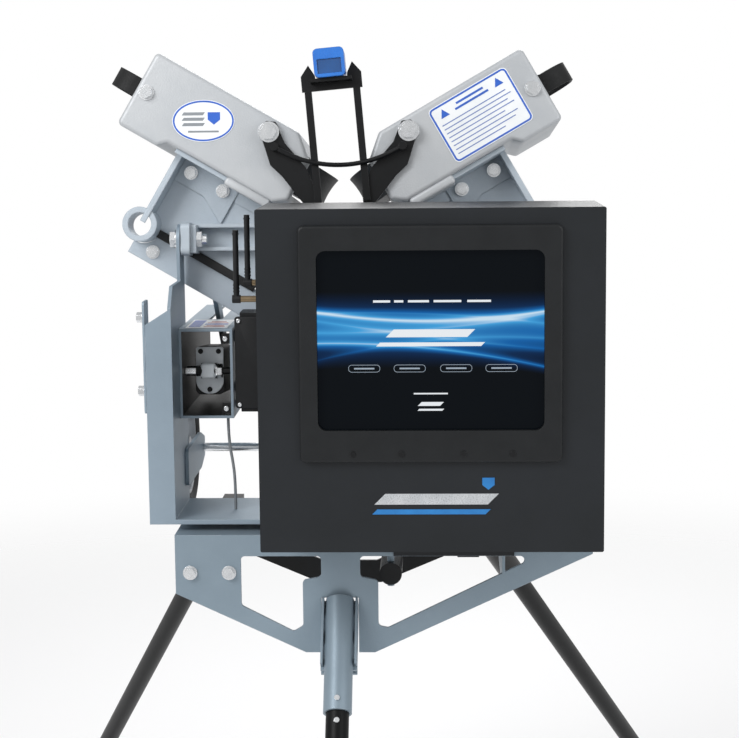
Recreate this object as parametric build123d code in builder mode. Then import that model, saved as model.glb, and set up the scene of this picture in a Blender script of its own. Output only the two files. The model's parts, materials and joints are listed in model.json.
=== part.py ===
from build123d import *
import os
from math import cos, hypot, radians, sin, tan

# Three-wheel baseball pitching machine on a tripod, in millimetres.
# X runs to the operator's right, Y along the throw away from the operator, Z up.
# Everything is drawn from the swivel axis, then moved so that the origin is on the floor,
# midway between the front and rear feet.

# ---- driving dimensions -------------------------------------------------
trunnion_height = 1355.0
throat_above_trunnion = 65.0
aim_down = 6.0
sheet = 5.0
press_gap = 0.2
running_gap = 0.05
body_gap = 1.0

# throwing wheels
ball_grip = 34.0
tread_radius = 138.0
tread_groove = 4.0
wheel_width = 62.0
rim_radius = 95.0
rim_wall = 10.0
wheel_shaft_radius = 9.5
wheel_plane_depth = 114.0
hub_web = 8.0
hub_boss_radius = 30.0
hub_hole_radius = 14.0
upper_arm_angle = 30.0
lower_arm_angle = -90.0

# covers over the wheels
cover_front_clearance = 21.0
cover_end_clearance = 73.0
cover_rear = -236.0
cover_inner = 74.0
cover_upper = 63.0
cover_lower = 62.0
cover_heel = 14.0
heel_start = 300.0
cover_wall = 5.0
cover_corner = 9.0
tyre_clearance = 5.0
pad_reach = 158.0
pad_offset = 38.0
pad_radius = 19.0
pad_height = 3.0
face_bolt_reach = 373.0

# bolts through the covers and castings
bracket_bolt = 16.0
face_bolt = 12.0
casting_bolt = 11.0
casting_bolt_reaches = (190.0, 254.0)
casting_bolt_offset = 87.0
wing_bolt_reach = 245.0
wing_bolt_offset = 240.0

# castings under the covers
web_front = -42.0
web_thickness = 8.0
mount_length_behind = 176.0
rib_reach = 284.0
rib_wall = 10.0
rib_depth = 52.0
lug_offset = 207.0
lug_radius = 30.0
lug_bore_radius = 20.0
lug_length = 50.0
seam_width = 12.0
wing_width = 48.0
lower_clearance = 4.0
motor_radius = 58.0
motor_length = 62.0
boss_width = 46.0
boss_height = 56.0
boss_thickness = 16.0
trunnion_bolt_radius = 9.0
nut_height = 9.0

# carrying handles
strap_width = 34.0
strap_thickness = 6.0
strap_reach = 52.0
strap_span = 92.0

# feed bracket, frame and signal lamp
bracket_plate = 6.0
frame_bar = 12.0
frame_height = 200.0
frame_low = -8.0
frame_inside = 70.0
frame_shift = 6.0
ear_rise = 26.0
frame_lean = 5.0
bail_radius = 4.0
bail_sag = 31.0
lamp_width = 52.0
lamp_height = 48.0
lamp_depth = 46.0
lamp_wall = 4.0
lamp_rim = 6.0

# yoke
yoke_inner = 276.0
yoke_plate = 6.0
yoke_front = 150.0
yoke_rear = 26.0
yoke_top_drop = 70.0
flange_width = 38.0
flange_shoulder = 62.0
yoke_shoulder = 34.0
ear_half_width = 27.5
bearing_height = 12.0
bearing_radius = 150.0
swivel_shaft_radius = 20.0

# tilt actuator and its channel
channel_width = 92.0
channel_height = 154.0
channel_drop = 302.0
channel_front = -68.0
channel_length = 398.0
channel_wall = 5.0
roof_slot_start = 80.0
tilt_pin_y = -30.0
tilt_pin_radius = 6.0
lever_y = 290.0
lever_drop = 225.0
lever_plate = 8.0
lever_slop = 3.0
crank_slop = 1.5
lever_eye = 16.0
actuator_width = 50.0
actuator_height = 84.0
actuator_length = 150.0
rod_radius = 12.0
rod_inset = 62.0
eye_half = 13.0

# electronics box
electronics_gap = 11.8
electronics_width = 78.0
electronics_height = 170.0
electronics_front = -60.0
electronics_rear = 0.0

# base housing
base_top = 874.0
base_front = -178.0
base_rear = 89.0
base_half_width = 275.0
base_side_height = 100.0
base_bottom = 673.0
base_foot_half_width = 58.0
wing_end = 420.0
window_top = 838.0
notch_half_width = 31.0
notch_top = 767.0
window_strip = 38.0
housing_bolt_height = 810.0
housing_bolt_places = (-250.0, -185.0)

# rear frame
rear_frame_top = 842.0
rear_frame_shoulder = 792.0
rear_frame_low = 700.0
rear_frame_plate = 6.0
rail_inner = 196.0
rail_width = 36.0
rail_depth = 34.0

# pan drive
pan_height = 800.0
pan_x = 84.0
pan_start = -130.0
pan_end = 40.0
crank_half = 4.0
pan_rod_radius = 8.0

# legs
leg_radius = 19.0
leg_fit = 0.3
leg_wall = 2.5
socket_wall = 4.2
socket_front_length = 180.0
socket_rear_length = 210.0
socket_head = 18.0
leg_inside = 90.0
front_leg_gap = 7.0
front_leg_splay = 38.0
front_leg_height = 748.0
rear_leg_x = 237.0
rear_leg_y = 195.0
rear_leg_height = 810.0
rear_leg_out = 0.54
rear_leg_back = 1.1
foot_height = 14.0
foot_radius = 34.0
button_radius = 4.5
button_drop = 18.0

# control box
box_width = 532.0
box_height = 532.0
box_depth = 193.0
box_front = -378.0
box_centre_x = 154.0
box_bottom = 893.0
box_wall = 3.0
bezel_width = 402.0
bezel_height = 364.0
bezel_centre_z = 1218.0
bezel_depth = 12.0
window_width = 346.0
window_height = 276.0
window_rise = 6.0
window_corner = 14.0
glass_gap = 0.3
bezel_screw_places = (-120.0, -45.0, 50.0, 125.0)
hanger_left = 90.0
hanger_right = 290.0
inlet_y = -222.0
inlet_z = 962.0
rocker_stub_radius = 1.5

# transport wheels
tyre_radius = 120.0
tyre_width = 58.0
tyre_wall = 34.0
carry_wheel_y = 185.0
carry_wheel_z = 957.0
carry_wheel_x = 318.0
axle_radius = 8.0
bracket_thick = 6.0

# antennas
antenna_radius = 4.5
antenna_length = 108.0
knuckle = 13.0
stub_radius = 5.0
front_antenna_reach = 38.0
rear_antenna_reach = 25.0

# cable of the tilt drive
cable_radius = 2.5
arc_share = 0.45

os.makedirs("parts", exist_ok=True)

# ---- directions of the head, which is tipped nose down about the trunnion --
tip = radians(aim_down)
forward = Vector(0, cos(tip), -sin(tip))
back = forward * -1
upward = Vector(0, sin(tip), cos(tip))
across = Vector(1, 0, 0)
trunnion = Vector(0, 0, trunnion_height)
throat = trunnion + upward * throat_above_trunnion
wheel_reach = ball_grip + tread_radius
wheel_back = -wheel_plane_depth
cover_front = tread_radius + tread_groove - wheel_plane_depth + cover_wall + cover_front_clearance
cover_outer = wheel_reach + tread_radius + tread_groove + cover_wall + cover_end_clearance
hole_circle = (rim_radius - rim_wall + hub_boss_radius) / 2
mount_top = -cover_lower - press_gap
mount_bottom = mount_top - web_thickness
shaft_length = -mount_bottom + motor_length * 0.6 - wheel_width / 2
yoke_top = trunnion_height - yoke_top_drop
channel_bottom = trunnion_height - channel_drop
socket_radius = leg_radius + leg_fit + socket_wall

# the feet, and the point on the floor midway between them
front_out = tan(radians(front_leg_splay))
front_foot_y = base_front - front_leg_gap - front_leg_height * front_out
rear_foot_y = rear_leg_y + rear_leg_height * rear_leg_back
middle_y = (front_foot_y + rear_foot_y) / 2


def keep(piece, name):
    """Moves a finished piece to the machine's own origin, names it and writes it."""
    finished = piece.part.moved(Location((0, -middle_y, 0)))
    finished.label = name
    export_step(finished, f"parts/{name}.step")


def head_plane(depth):
    """Faces the operator; x runs right, y up, measured from the throat."""
    return Plane(throat + back * depth, x_dir=across, z_dir=back)


def head_side_plane(x):
    """Faces right; x runs forward and y up, measured from the trunnion."""
    return Plane(trunnion + across * x, x_dir=forward, z_dir=across)


def arm_directions(angle):
    """Outward and sideways directions of one arm of the head."""
    turn = radians(angle)
    outward = across * cos(turn) + upward * sin(turn)
    sideways = across * -sin(turn) + upward * cos(turn)
    return outward, sideways


def arm_plane(angle, depth):
    """Faces the operator; x runs out along the arm, y to its upper side."""
    outward, _ = arm_directions(angle)
    return Plane(throat + back * depth, x_dir=outward, z_dir=back)


def arm_side_plane(angle, height, depth=0.0):
    """Lies across the wheel's axle; x runs out along the arm, y forward."""
    outward, sideways = arm_directions(angle)
    origin = throat + sideways * height + back * depth
    return Plane(origin, x_dir=outward, z_dir=sideways)


def arm_end_plane(angle, reach, depth):
    """Lies across the arm at its outer end; x runs to its upper side."""
    outward, sideways = arm_directions(angle)
    origin = throat + outward * reach + back * depth
    return Plane(origin, x_dir=sideways, z_dir=outward)


def disc(plane, radius, thickness, mode=Mode.ADD):
    """A round slab that rises from the plane."""
    with BuildSketch(plane) as outline:
        Circle(radius)
    extrude(outline.sketch, amount=thickness, mode=mode)


def slab(plane, corners, thickness, mode=Mode.ADD, corner_radius=0.0):
    """A flat plate on the plane with the given corners."""
    with BuildSketch(plane) as outline:
        Polygon(*corners, align=None)
        if corner_radius:
            fillet(outline.vertices(), radius=corner_radius)
    extrude(outline.sketch, amount=thickness, mode=mode)


def block(plane, x_range, y_range, thickness, mode=Mode.ADD, corner_radius=0.0):
    """A rectangular slab between two x values and two y values."""
    (x0, x1), (y0, y1) = x_range, y_range
    corners = [(x0, y0), (x1, y0), (x1, y1), (x0, y1)]
    slab(plane, corners, thickness, mode, corner_radius)


def moved(plane, x, y, rise=0.0):
    """The same plane with its origin at (x, y) and raised."""
    origin = plane.origin + plane.x_dir * x + plane.y_dir * y + plane.z_dir * rise
    return Plane(origin, x_dir=plane.x_dir, z_dir=plane.z_dir)


def hex_bolt(plane, size, shank_length):
    """A washer and hex head on the plane, with the shank below it."""
    washer = 0.2 * size
    disc(plane, 1.1 * size, washer)
    with BuildSketch(plane.offset(washer)) as head:
        RegularPolygon(0.9 * size, 6)
    extrude(head.sketch, amount=0.6 * size)
    disc(plane, size / 2, -shank_length)


def bolt_hole(plane, size, depth):
    """A hole for a bolt of the given size, sunk from just above the plane."""
    disc(plane.offset(1), size / 2 + press_gap / 2, -depth - 1, Mode.SUBTRACT)


# ---- throwing wheels ------------------------------------------------------
def tyre(angle):
    """A urethane tyre with a hollow tread that grips the ball."""
    with BuildPart() as piece:
        plane = moved(arm_plane(angle, wheel_back), wheel_reach, 0)
        half = wheel_width / 2
        shoulder = tread_radius + tread_groove
        with BuildSketch(plane) as profile:
            with BuildLine() as outline:
                Polyline((shoulder, -half), (rim_radius, -half), (rim_radius, half), (shoulder, half))
                ThreePointArc((shoulder, half), (tread_radius, 0), (shoulder, -half))
            make_face()
        revolve(profile.sketch, axis=Axis(plane.origin, plane.y_dir), revolution_arc=360)
    return piece


def hub(angle):
    """An aluminium rim, web and boss with the shaft that drives them."""
    with BuildPart() as piece:
        centre = moved(arm_side_plane(angle, 0, wheel_back), wheel_reach, 0)
        half = wheel_width / 2
        disc(centre.offset(-half), rim_radius - press_gap / 2, wheel_width)
        for side in (1, -1):
            recess = centre.offset(side * (hub_web / 2))
            with BuildSketch(recess) as ring:
                Circle(rim_radius - rim_wall)
                Circle(hub_boss_radius, mode=Mode.SUBTRACT)
            extrude(ring.sketch, amount=side * half, mode=Mode.SUBTRACT)
        with BuildSketch(centre.offset(-hub_web)) as holes:
            with PolarLocations(hole_circle, 6):
                Circle(hub_hole_radius)
        extrude(holes.sketch, amount=2 * hub_web, mode=Mode.SUBTRACT)
        disc(centre.offset(half), wheel_shaft_radius + 4, 6)
        disc(centre.offset(-half), wheel_shaft_radius, -shaft_length)
    return piece


# ---- covers ----------------------------------------------------------------
def cover(angle):
    """A cast shell over one wheel, open towards the ball and the batter."""
    depth = cover_front - cover_rear
    wall = cover_wall
    with BuildPart() as piece:
        face = arm_plane(angle, cover_front)
        outer = [
            (cover_inner, -cover_lower + 16),
            (cover_inner + 22, -cover_lower),
            (heel_start, -cover_lower),
            (heel_start + cover_heel, -cover_lower - cover_heel),
            (cover_outer, -cover_lower - cover_heel),
            (cover_outer, cover_upper),
            (cover_inner + 40, cover_upper),
            (cover_inner, cover_upper - 34),
        ]
        with BuildSketch(face) as outline:
            Polygon(*outer, align=None)
            fillet(outline.vertices(), radius=cover_corner)
        extrude(outline.sketch, amount=-depth)
        front = piece.faces().sort_by(Axis(throat, back))[-1]
        fillet(front.edges(), radius=cover_corner - 2)
        with BuildSketch(face.offset(-wall)) as hollow:
            Polygon(*outer, align=None)
            fillet(hollow.vertices(), radius=cover_corner)
            offset(amount=-wall, kind=Kind.INTERSECTION)
        extrude(hollow.sketch, amount=-depth, mode=Mode.SUBTRACT)
        mouth_half = wheel_width / 2 + tyre_clearance
        block(face.offset(-4 * wall), (cover_inner - wall, cover_inner + 8 * wall), (-mouth_half, mouth_half),
              -depth, Mode.SUBTRACT)
        shaft_way = moved(arm_side_plane(angle, -cover_lower - wall, wheel_back), wheel_reach, 0)
        disc(shaft_way, hub_boss_radius + 4, 4 * wall, Mode.SUBTRACT)
        disc(moved(face, pad_reach, pad_offset, -1), pad_radius, pad_height + 1)
        bolt_hole(moved(face, pad_reach, pad_offset, pad_height), bracket_bolt, 3 * wall)
        bolt_hole(moved(face, face_bolt_reach, -6), face_bolt, 3 * wall)
    return piece


# ---- castings --------------------------------------------------------------
def arm_point(angle, reach, offset):
    """Where a point of an arm lies in the head's own right and up axes."""
    turn = radians(angle)
    x = reach * cos(turn) - offset * sin(turn)
    y = reach * sin(turn) + offset * cos(turn)
    return x, y


lower_cover_side = cover_lower + cover_heel + lower_clearance
seam = lug_offset - seam_width / 2
upper_inner_reach = (lower_cover_side - seam * sin(radians(upper_arm_angle))) / cos(radians(upper_arm_angle))
skirt_rise = cover_lower * sin(radians(upper_arm_angle))
upper_start_reach = (lower_cover_side - skirt_rise) / cos(radians(upper_arm_angle))
lug_reach = rib_reach - rib_wall / 4
mount_inner = cover_inner + 30
ring_low = web_front - web_thickness

with BuildPart() as right_casting:
    web = arm_plane(upper_arm_angle, web_front)
    web_corners = [
        (upper_start_reach, mount_top),
        (rib_reach, mount_top),
        (rib_reach, -seam),
        (upper_inner_reach, -seam),
    ]
    slab(web, web_corners, -web_thickness)
    # raised plate that carries the motor bracket's two bolts
    slab(web, [(165, mount_top), (rib_reach - rib_wall, mount_top), (rib_reach - rib_wall, -112),
               (215, -112), (165, -140)], 4)
    block(web, (rib_reach - rib_wall, rib_reach), (-seam, mount_top), rib_depth)
    block(web, (mount_inner, rib_reach), (mount_top - 4 * web_thickness, mount_top), 2)
    lug = moved(web, lug_reach, -lug_offset, -web_thickness)
    disc(lug, lug_radius, lug_length + web_thickness)
    disc(lug, lug_bore_radius, lug_length + web_thickness, Mode.SUBTRACT)
    mount = arm_side_plane(upper_arm_angle, mount_top)
    block(mount, (mount_inner, rib_reach), (-web_front, mount_length_behind), -web_thickness)
    block(mount, (mount_inner, rib_reach), (-cover_front + 12, -web_front), -web_thickness)
    shaft_way = moved(mount, wheel_reach, wheel_plane_depth)
    disc(shaft_way, wheel_shaft_radius + 2, -web_thickness, Mode.SUBTRACT)
    # trunnion boss, its wall back to the web and two ribs
    boss_outer = yoke_inner - body_gap
    boss_plane = head_side_plane(boss_outer)
    half_boss = boss_height / 2
    block(boss_plane, (-boss_width / 2, boss_width / 2), (-half_boss, half_boss), -boss_thickness,
          corner_radius=10)
    wall_plane = head_side_plane(boss_outer - boss_thickness)
    block(wall_plane, (-12, -web_front + 1), (-half_boss + 4, half_boss - 4), -rib_wall)
    for rise in (-half_boss + 8, half_boss - 8):
        rib = Plane(throat + upward * (rise - throat_above_trunnion), x_dir=across, z_dir=upward)
        inner_end = 150
        block(rib, (inner_end, boss_outer - boss_thickness), (14, -web_front + 1), rib_wall * 0.7)
    bolt_hole(boss_plane, 2 * trunnion_bolt_radius, boss_thickness + rib_wall)
    for reach in casting_bolt_reaches:
        bolt_hole(moved(web, reach, -casting_bolt_offset, 4), casting_bolt, web_thickness + 4)
keep(right_casting, "right_casting")

with BuildPart() as left_casting:
    mirror(right_casting.part, about=Plane.YZ)
keep(left_casting, "left_casting")

with BuildPart() as lower_casting:
    plane = head_plane(web_front)
    wing_top = seam + seam_width
    wing_low = wing_top + wing_width
    right_tip = arm_point(upper_arm_angle, rib_reach, -wing_top)
    right_end = arm_point(upper_arm_angle, rib_reach, -wing_low)
    inner_top = arm_point(upper_arm_angle, upper_inner_reach - seam_width, -wing_top)
    inner_low = (lower_cover_side, inner_top[1] - 1.8 * wing_width)
    low_knee = arm_point(upper_arm_angle, 55, -wing_low)
    for side in (1, -1):
        near = cover_lower + press_gap if side < 0 else cover_upper + press_gap
        corners = [right_tip, right_end, low_knee, inner_low, (near, inner_low[1]), (near, inner_top[1])]
        slab(plane, [(side * x, y) for x, y in corners], -web_thickness)
        lug_centre = arm_point(upper_arm_angle, lug_reach, -lug_offset)
        disc(moved(plane, side * lug_centre[0], lug_centre[1], 1), lug_radius + 1, -3 * web_thickness,
             Mode.SUBTRACT)
        foot = Plane(throat + across * side * near + back * web_front, x_dir=upward, z_dir=across * side)
        block(foot, (inner_low[1], inner_top[1]), (0, 40), web_thickness)
    # mounting plate for the motor beside the lower wheel
    mount = arm_side_plane(lower_arm_angle, mount_top)
    low_end = -inner_low[1] - 4
    block(mount, (mount_inner, low_end), (-web_front - web_thickness, mount_length_behind), -web_thickness)
    shaft_way = moved(mount, wheel_reach, wheel_plane_depth)
    disc(shaft_way, wheel_shaft_radius + 2, -web_thickness, Mode.SUBTRACT)
    for side in (1, -1):
        x, y = arm_point(upper_arm_angle, wing_bolt_reach, -wing_bolt_offset)
        bolt_hole(moved(plane, side * x, y), casting_bolt, web_thickness)
keep(lower_casting, "lower_casting")

# ---- one cover, tyre, hub and motor on each arm ------------------------------
def motor(angle):
    """A round motor hung under the mounting plate, with a cooling-ribbed can."""
    with BuildPart() as piece:
        face = moved(arm_side_plane(angle, mount_bottom - press_gap, wheel_back), wheel_reach, 0)
        disc(face, motor_radius - 4, -motor_length)
        for step in range(5):
            disc(face.offset(-6 - step * 11), motor_radius, -6)
        disc(face.offset(1), wheel_shaft_radius + 2 * running_gap, -motor_length * 0.6 - 4, Mode.SUBTRACT)
        disc(face.offset(-motor_length), 24, -6)
    return piece


makers = {"wheel_cover": cover, "throwing_tyre": tyre, "throwing_hub": hub, "motor": motor}
for kind, make in makers.items():
    right_piece = make(upper_arm_angle)
    keep(right_piece, f"right_{kind}")
    keep(make(lower_arm_angle), f"lower_{kind}")
    with BuildPart() as left_piece:
        mirror(right_piece.part, about=Plane.YZ)
    keep(left_piece, f"left_{kind}")

# ---- carrying handles ----------------------------------------------------------
handle_back = cover_front - 62 - strap_span / 2
with BuildPart() as right_handle:
    strap_plane = arm_side_plane(upper_arm_angle, -strap_width / 2 - 4)
    root = cover_outer + press_gap
    half = strap_span / 2
    middle = -handle_back
    bend = strap_reach * 0.6
    with BuildSketch(strap_plane) as strap:
        with BuildLine() as path:
            FilletPolyline(
                (root, middle - half - 16), (root, middle - half), (root + strap_reach, middle - half),
                (root + strap_reach, middle + half), (root, middle + half), (root, middle + half + 16),
                radius=[1, bend, bend, 1], close=False)
            offset(amount=strap_thickness, side=Side.RIGHT)
        make_face()
    extrude(strap.sketch, amount=strap_width)
    for end in (-1, 1):
        strap_face = arm_end_plane(upper_arm_angle, cover_outer + strap_thickness, handle_back)
        disc(moved(strap_face, -4, end * (half + 9)), 5, 4)
keep(right_handle, "right_handle")

with BuildPart() as left_handle:
    mirror(right_handle.part, about=Plane.YZ)
keep(left_handle, "left_handle")

# ---- feed bracket, bail, frame and lamp ------------------------------------------
bracket_plane = head_plane(cover_front + pad_height + press_gap)
eye = arm_point(upper_arm_angle, pad_reach, pad_offset)
throat_clear = ball_grip + tread_groove + 1
bracket_corners = [
    (eye[0] - 12, eye[1] + 17), (eye[0] + 4, eye[1] + 19), (eye[0] + 17, eye[1] + 6), (eye[0] - 2, 56),
    (eye[0] - 22, 37), (58, -12), (throat_clear + 2, -12), (throat_clear, 13), (eye[0] - 62, 52),
    (eye[0] - 26, eye[1] - 18),
]
with BuildPart() as feed_brackets:
    for side in (1, -1):
        slab(bracket_plane, [(side * x, y) for x, y in bracket_corners], bracket_plate, corner_radius=3)
        bolt_hole(moved(bracket_plane, side * eye[0], eye[1], bracket_plate), bracket_bolt, 2 * bracket_plate)
keep(feed_brackets, "feed_brackets")

bail_x = eye[0] - 10
bail_y = eye[1] - 26
frame_depth = cover_front + pad_height + bracket_plate + 2 * press_gap
bail_depth = frame_depth + bracket_plate + bail_radius + 1
with BuildPart() as feed_bail:
    plane = head_plane(bail_depth)
    ends = [plane.from_local_coords((side * bail_x, bail_y, 0)) for side in (-1, 1)]
    middle = plane.from_local_coords((0, bail_y - bail_sag, 0))
    with BuildLine() as arc:
        ThreePointArc(ends[0], middle, ends[1])
    start = arc.line ^ 0
    with BuildSketch(start) as section:
        Circle(bail_radius)
    sweep(section.sketch, path=arc.line)
    for side in (-1, 1):
        stud = moved(head_plane(frame_depth), side * bail_x, bail_y)
        disc(stud, bail_radius + 3, bail_depth + bail_radius + 1 - frame_depth)
keep(feed_bail, "feed_bail")

lean = radians(frame_lean)
lean_right = across * cos(lean) + upward * sin(lean)
frame_origin = throat + across * frame_shift + back * frame_depth
frame_plane = Plane(frame_origin, x_dir=lean_right, z_dir=back)
half_inside = frame_inside / 2
with BuildPart() as feed_frame:
    for side in (-1, 1):
        inner, outer = side * half_inside, side * (half_inside + frame_bar)
        block(frame_plane, sorted((inner, outer)), (frame_low, frame_height), bracket_plate)
        ear_out = side * (half_inside + frame_bar + 4)
        ear_in = side * (half_inside - 8)
        slab(frame_plane, [(ear_in, frame_height - 18), (ear_out, frame_height - 18),
                           (ear_out, frame_height + 8), (side * (half_inside + 2), frame_height + ear_rise),
                           (ear_in, frame_height + 8)], bracket_plate)
    block(frame_plane, (-half_inside - 2, half_inside + 2), (frame_height - 18, frame_height), bracket_plate)
    block(frame_plane, (-half_inside, half_inside), (frame_height - 6, frame_height), 30)
keep(feed_frame, "feed_frame")

with BuildPart() as lamp_housing:
    lamp_plane = moved(frame_plane, 0, frame_height + press_gap, lamp_depth - 8)
    block(lamp_plane, (-lamp_width / 2, lamp_width / 2), (0, lamp_height), -lamp_depth, corner_radius=8)
    pocket_half = lamp_width / 2 - lamp_rim
    pocket_top = lamp_height * 0.62
    block(lamp_plane, (-pocket_half, pocket_half), (lamp_rim, pocket_top), -lamp_wall, Mode.SUBTRACT)
keep(lamp_housing, "lamp_housing")

with BuildPart() as lamp_lens:
    block(lamp_plane.offset(-lamp_wall), (-pocket_half + press_gap, pocket_half - press_gap),
          (lamp_rim + press_gap, pocket_top - press_gap), lamp_wall / 2)
keep(lamp_lens, "lamp_lens")

# ---- bolts of the head ---------------------------------------------------------
with BuildPart() as right_bolts:
    cover_face = arm_plane(upper_arm_angle, cover_front)
    eye_plane = moved(bracket_plane, eye[0], eye[1], bracket_plate)
    hex_bolt(eye_plane, bracket_bolt, bracket_plate + pad_height + cover_wall)
    hex_bolt(moved(cover_face, face_bolt_reach, -6), face_bolt, cover_wall)
    web = arm_plane(upper_arm_angle, web_front)
    for reach in casting_bolt_reaches:
        hex_bolt(moved(web, reach, -casting_bolt_offset, 4), casting_bolt, web_thickness)
    x, y = arm_point(upper_arm_angle, wing_bolt_reach, -wing_bolt_offset)
    hex_bolt(moved(head_plane(web_front), x, y), casting_bolt, web_thickness - 1)
with BuildPart() as head_bolts:
    add(right_bolts.part)
    mirror(right_bolts.part, about=Plane.YZ)
    lower_face = arm_plane(lower_arm_angle, cover_front)
    hex_bolt(moved(lower_face, pad_reach, pad_offset, pad_height), bracket_bolt, pad_height + cover_wall)
    hex_bolt(moved(lower_face, face_bolt_reach, -6), face_bolt, cover_wall)
keep(head_bolts, "head_bolts")

# ---- tilt lever, bolted behind the lower casting's left wing --------------------
channel_x = -(yoke_inner - press_gap - channel_width / 2)
lever_x = channel_x
with BuildPart() as tilt_lever:
    lever_plane = head_side_plane(lever_x - lever_plate / 2)
    root_y = -web_front + web_thickness + press_gap
    lever_corners = [(root_y, -38), (root_y, -78), (lever_y - 8, -lever_drop - 11),
                     (lever_y + 8, -lever_drop + 11)]
    slab(lever_plane, lever_corners, lever_plate)
    disc(moved(lever_plane, lever_y, -lever_drop), lever_eye, lever_plate)
    disc(moved(lever_plane, lever_y, -lever_drop, -1), tilt_pin_radius + lever_slop, lever_plate + 2,
         Mode.SUBTRACT)
    foot = moved(head_plane(web_front - web_thickness - press_gap), 0, -throat_above_trunnion)
    block(foot, (lever_x - 22, lever_x + 22), (-78, -38), -6)
keep(tilt_lever, "tilt_lever")

# ---- yoke -------------------------------------------------------------------
yoke_bottom = base_top + bearing_height
with BuildPart() as yoke_frame:
    block(Plane.XY.offset(yoke_bottom), (-yoke_inner - yoke_plate, yoke_inner + yoke_plate),
          (-yoke_front, yoke_rear), yoke_plate + 2)
    for side in (1, -1):
        plate = Plane(Vector(side * yoke_inner, 0, 0), x_dir=(0, 1, 0), z_dir=(1, 0, 0))
        corners = [(-yoke_front, yoke_bottom), (yoke_rear, yoke_bottom), (yoke_rear, trunnion_height),
                   (-yoke_rear, trunnion_height), (-yoke_rear, yoke_top), (-yoke_front + 30, yoke_top),
                   (-yoke_front, yoke_top - yoke_shoulder)]
        slab(plate, corners, side * yoke_plate)
        # flange turned outward along the upright's front edge
        outside = yoke_inner + yoke_plate + flange_width
        flange = [(yoke_inner, yoke_bottom), (outside, yoke_bottom), (outside, yoke_top - flange_shoulder),
                  (yoke_inner, yoke_top - yoke_shoulder)]
        slab(Plane.XZ.offset(yoke_front), [(side * x, z) for x, z in flange], -yoke_plate)
        disc(Plane(Vector(side * yoke_inner, 0, trunnion_height), x_dir=(0, 1, 0), z_dir=(1, 0, 0)),
             yoke_rear, side * yoke_plate)
        disc(Plane(Vector(side * (yoke_inner - 1), 0, trunnion_height), x_dir=(0, 1, 0), z_dir=(1, 0, 0)),
             trunnion_bolt_radius + running_gap, side * (yoke_plate + 2), Mode.SUBTRACT)
    disc(Plane.XY.offset(yoke_bottom - 1), swivel_shaft_radius + press_gap / 2, yoke_plate + 4, Mode.SUBTRACT)
keep(yoke_frame, "yoke_frame")


def side_plane(x, y=0.0, z=0.0):
    """Faces right; x runs forward (+Y) and y runs up (+Z)."""
    return Plane(Vector(x, y, z), x_dir=(0, 1, 0), z_dir=(1, 0, 0))


# ---- trunnion bolts, which turn with the head ------------------------------------
with BuildPart() as pivot_bolts:
    for side in (1, -1):
        outside = side * (yoke_inner + yoke_plate + body_gap)
        inside = side * (boss_outer - boss_thickness - rib_wall - press_gap)
        grip = abs(outside - inside) + nut_height + 8
        disc(side_plane(outside, 0, trunnion_height), trunnion_bolt_radius, -side * grip)
        disc(side_plane(outside, 0, trunnion_height), 17, side * 3)
        for start, way in ((outside + side * 3, side), (inside, -side)):
            with BuildSketch(side_plane(start, 0, trunnion_height)) as nut:
                RegularPolygon(15, 6)
            extrude(nut.sketch, amount=way * nut_height)
keep(pivot_bolts, "pivot_bolts")

# ---- tilt actuator: channel, body, rod ---------------------------------------------
tilt_pin_z = channel_bottom + channel_height / 2
with BuildPart() as actuator_channel:
    left, right = channel_x - channel_width / 2, channel_x + channel_width / 2
    mouth = Plane.XZ.offset(-channel_front)
    block(mouth, (left, right), (channel_bottom, channel_bottom + channel_height), -channel_length)
    block(mouth.offset(1), (left + channel_wall, right - channel_wall),
          (channel_bottom + channel_wall, channel_bottom + channel_height - channel_wall),
          -channel_length - 2, Mode.SUBTRACT)
    # slot in the roof for the lever, open at the far end
    roof = Plane.XY.offset(channel_bottom + channel_height - channel_wall - 1)
    slot_half = lever_plate / 2 + 8
    slot_end = channel_front + channel_length + 1
    block(roof, (lever_x - slot_half, lever_x + slot_half), (roof_slot_start, slot_end),
          channel_wall + 2, Mode.SUBTRACT)
    disc(side_plane(left - 1, tilt_pin_y, tilt_pin_z), tilt_pin_radius + running_gap, channel_width + 2,
         Mode.SUBTRACT)
    # turned-in tabs for the front cover screws
    for z in (channel_bottom + 8, channel_bottom + channel_height - 26):
        block(mouth.offset(-press_gap), (right - channel_wall - 14, right - channel_wall), (z, z + 18), -3)
keep(actuator_channel, "actuator_channel")

lever_pin = trunnion + forward * lever_y + upward * -lever_drop
tilt_pin = Vector(channel_x, tilt_pin_y, tilt_pin_z)
tilt_axis = Vector(0, lever_pin.Y - tilt_pin.Y, lever_pin.Z - tilt_pin.Z)
tilt_reach = tilt_axis.length
tilt_axis = tilt_axis.normalized()
tilt_plane = Plane(tilt_pin, x_dir=(1, 0, 0), z_dir=tilt_axis)
with BuildPart() as tilt_actuator:
    block(tilt_plane.offset(16), (-actuator_width / 2, actuator_width / 2),
          (-actuator_height / 2, actuator_height / 2), actuator_length - 16, corner_radius=10)
    block(tilt_plane.offset(-4), (-eye_half, eye_half), (-eye_half, eye_half), 24)
    disc(side_plane(channel_x - eye_half, tilt_pin.Y, tilt_pin.Z), eye_half, 2 * eye_half)
    # cross pin that turns in the channel's walls, with its nut against the clevis
    disc(side_plane(channel_x - channel_width / 2, tilt_pin.Y, tilt_pin.Z), tilt_pin_radius, channel_width)
    with BuildSketch(side_plane(channel_x - eye_half, tilt_pin.Y, tilt_pin.Z)) as nut:
        RegularPolygon(10, 6)
    extrude(nut.sketch, amount=-8)
    disc(tilt_plane.offset(30), rod_radius + running_gap, actuator_length, Mode.SUBTRACT)
keep(tilt_actuator, "tilt_actuator")

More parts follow.
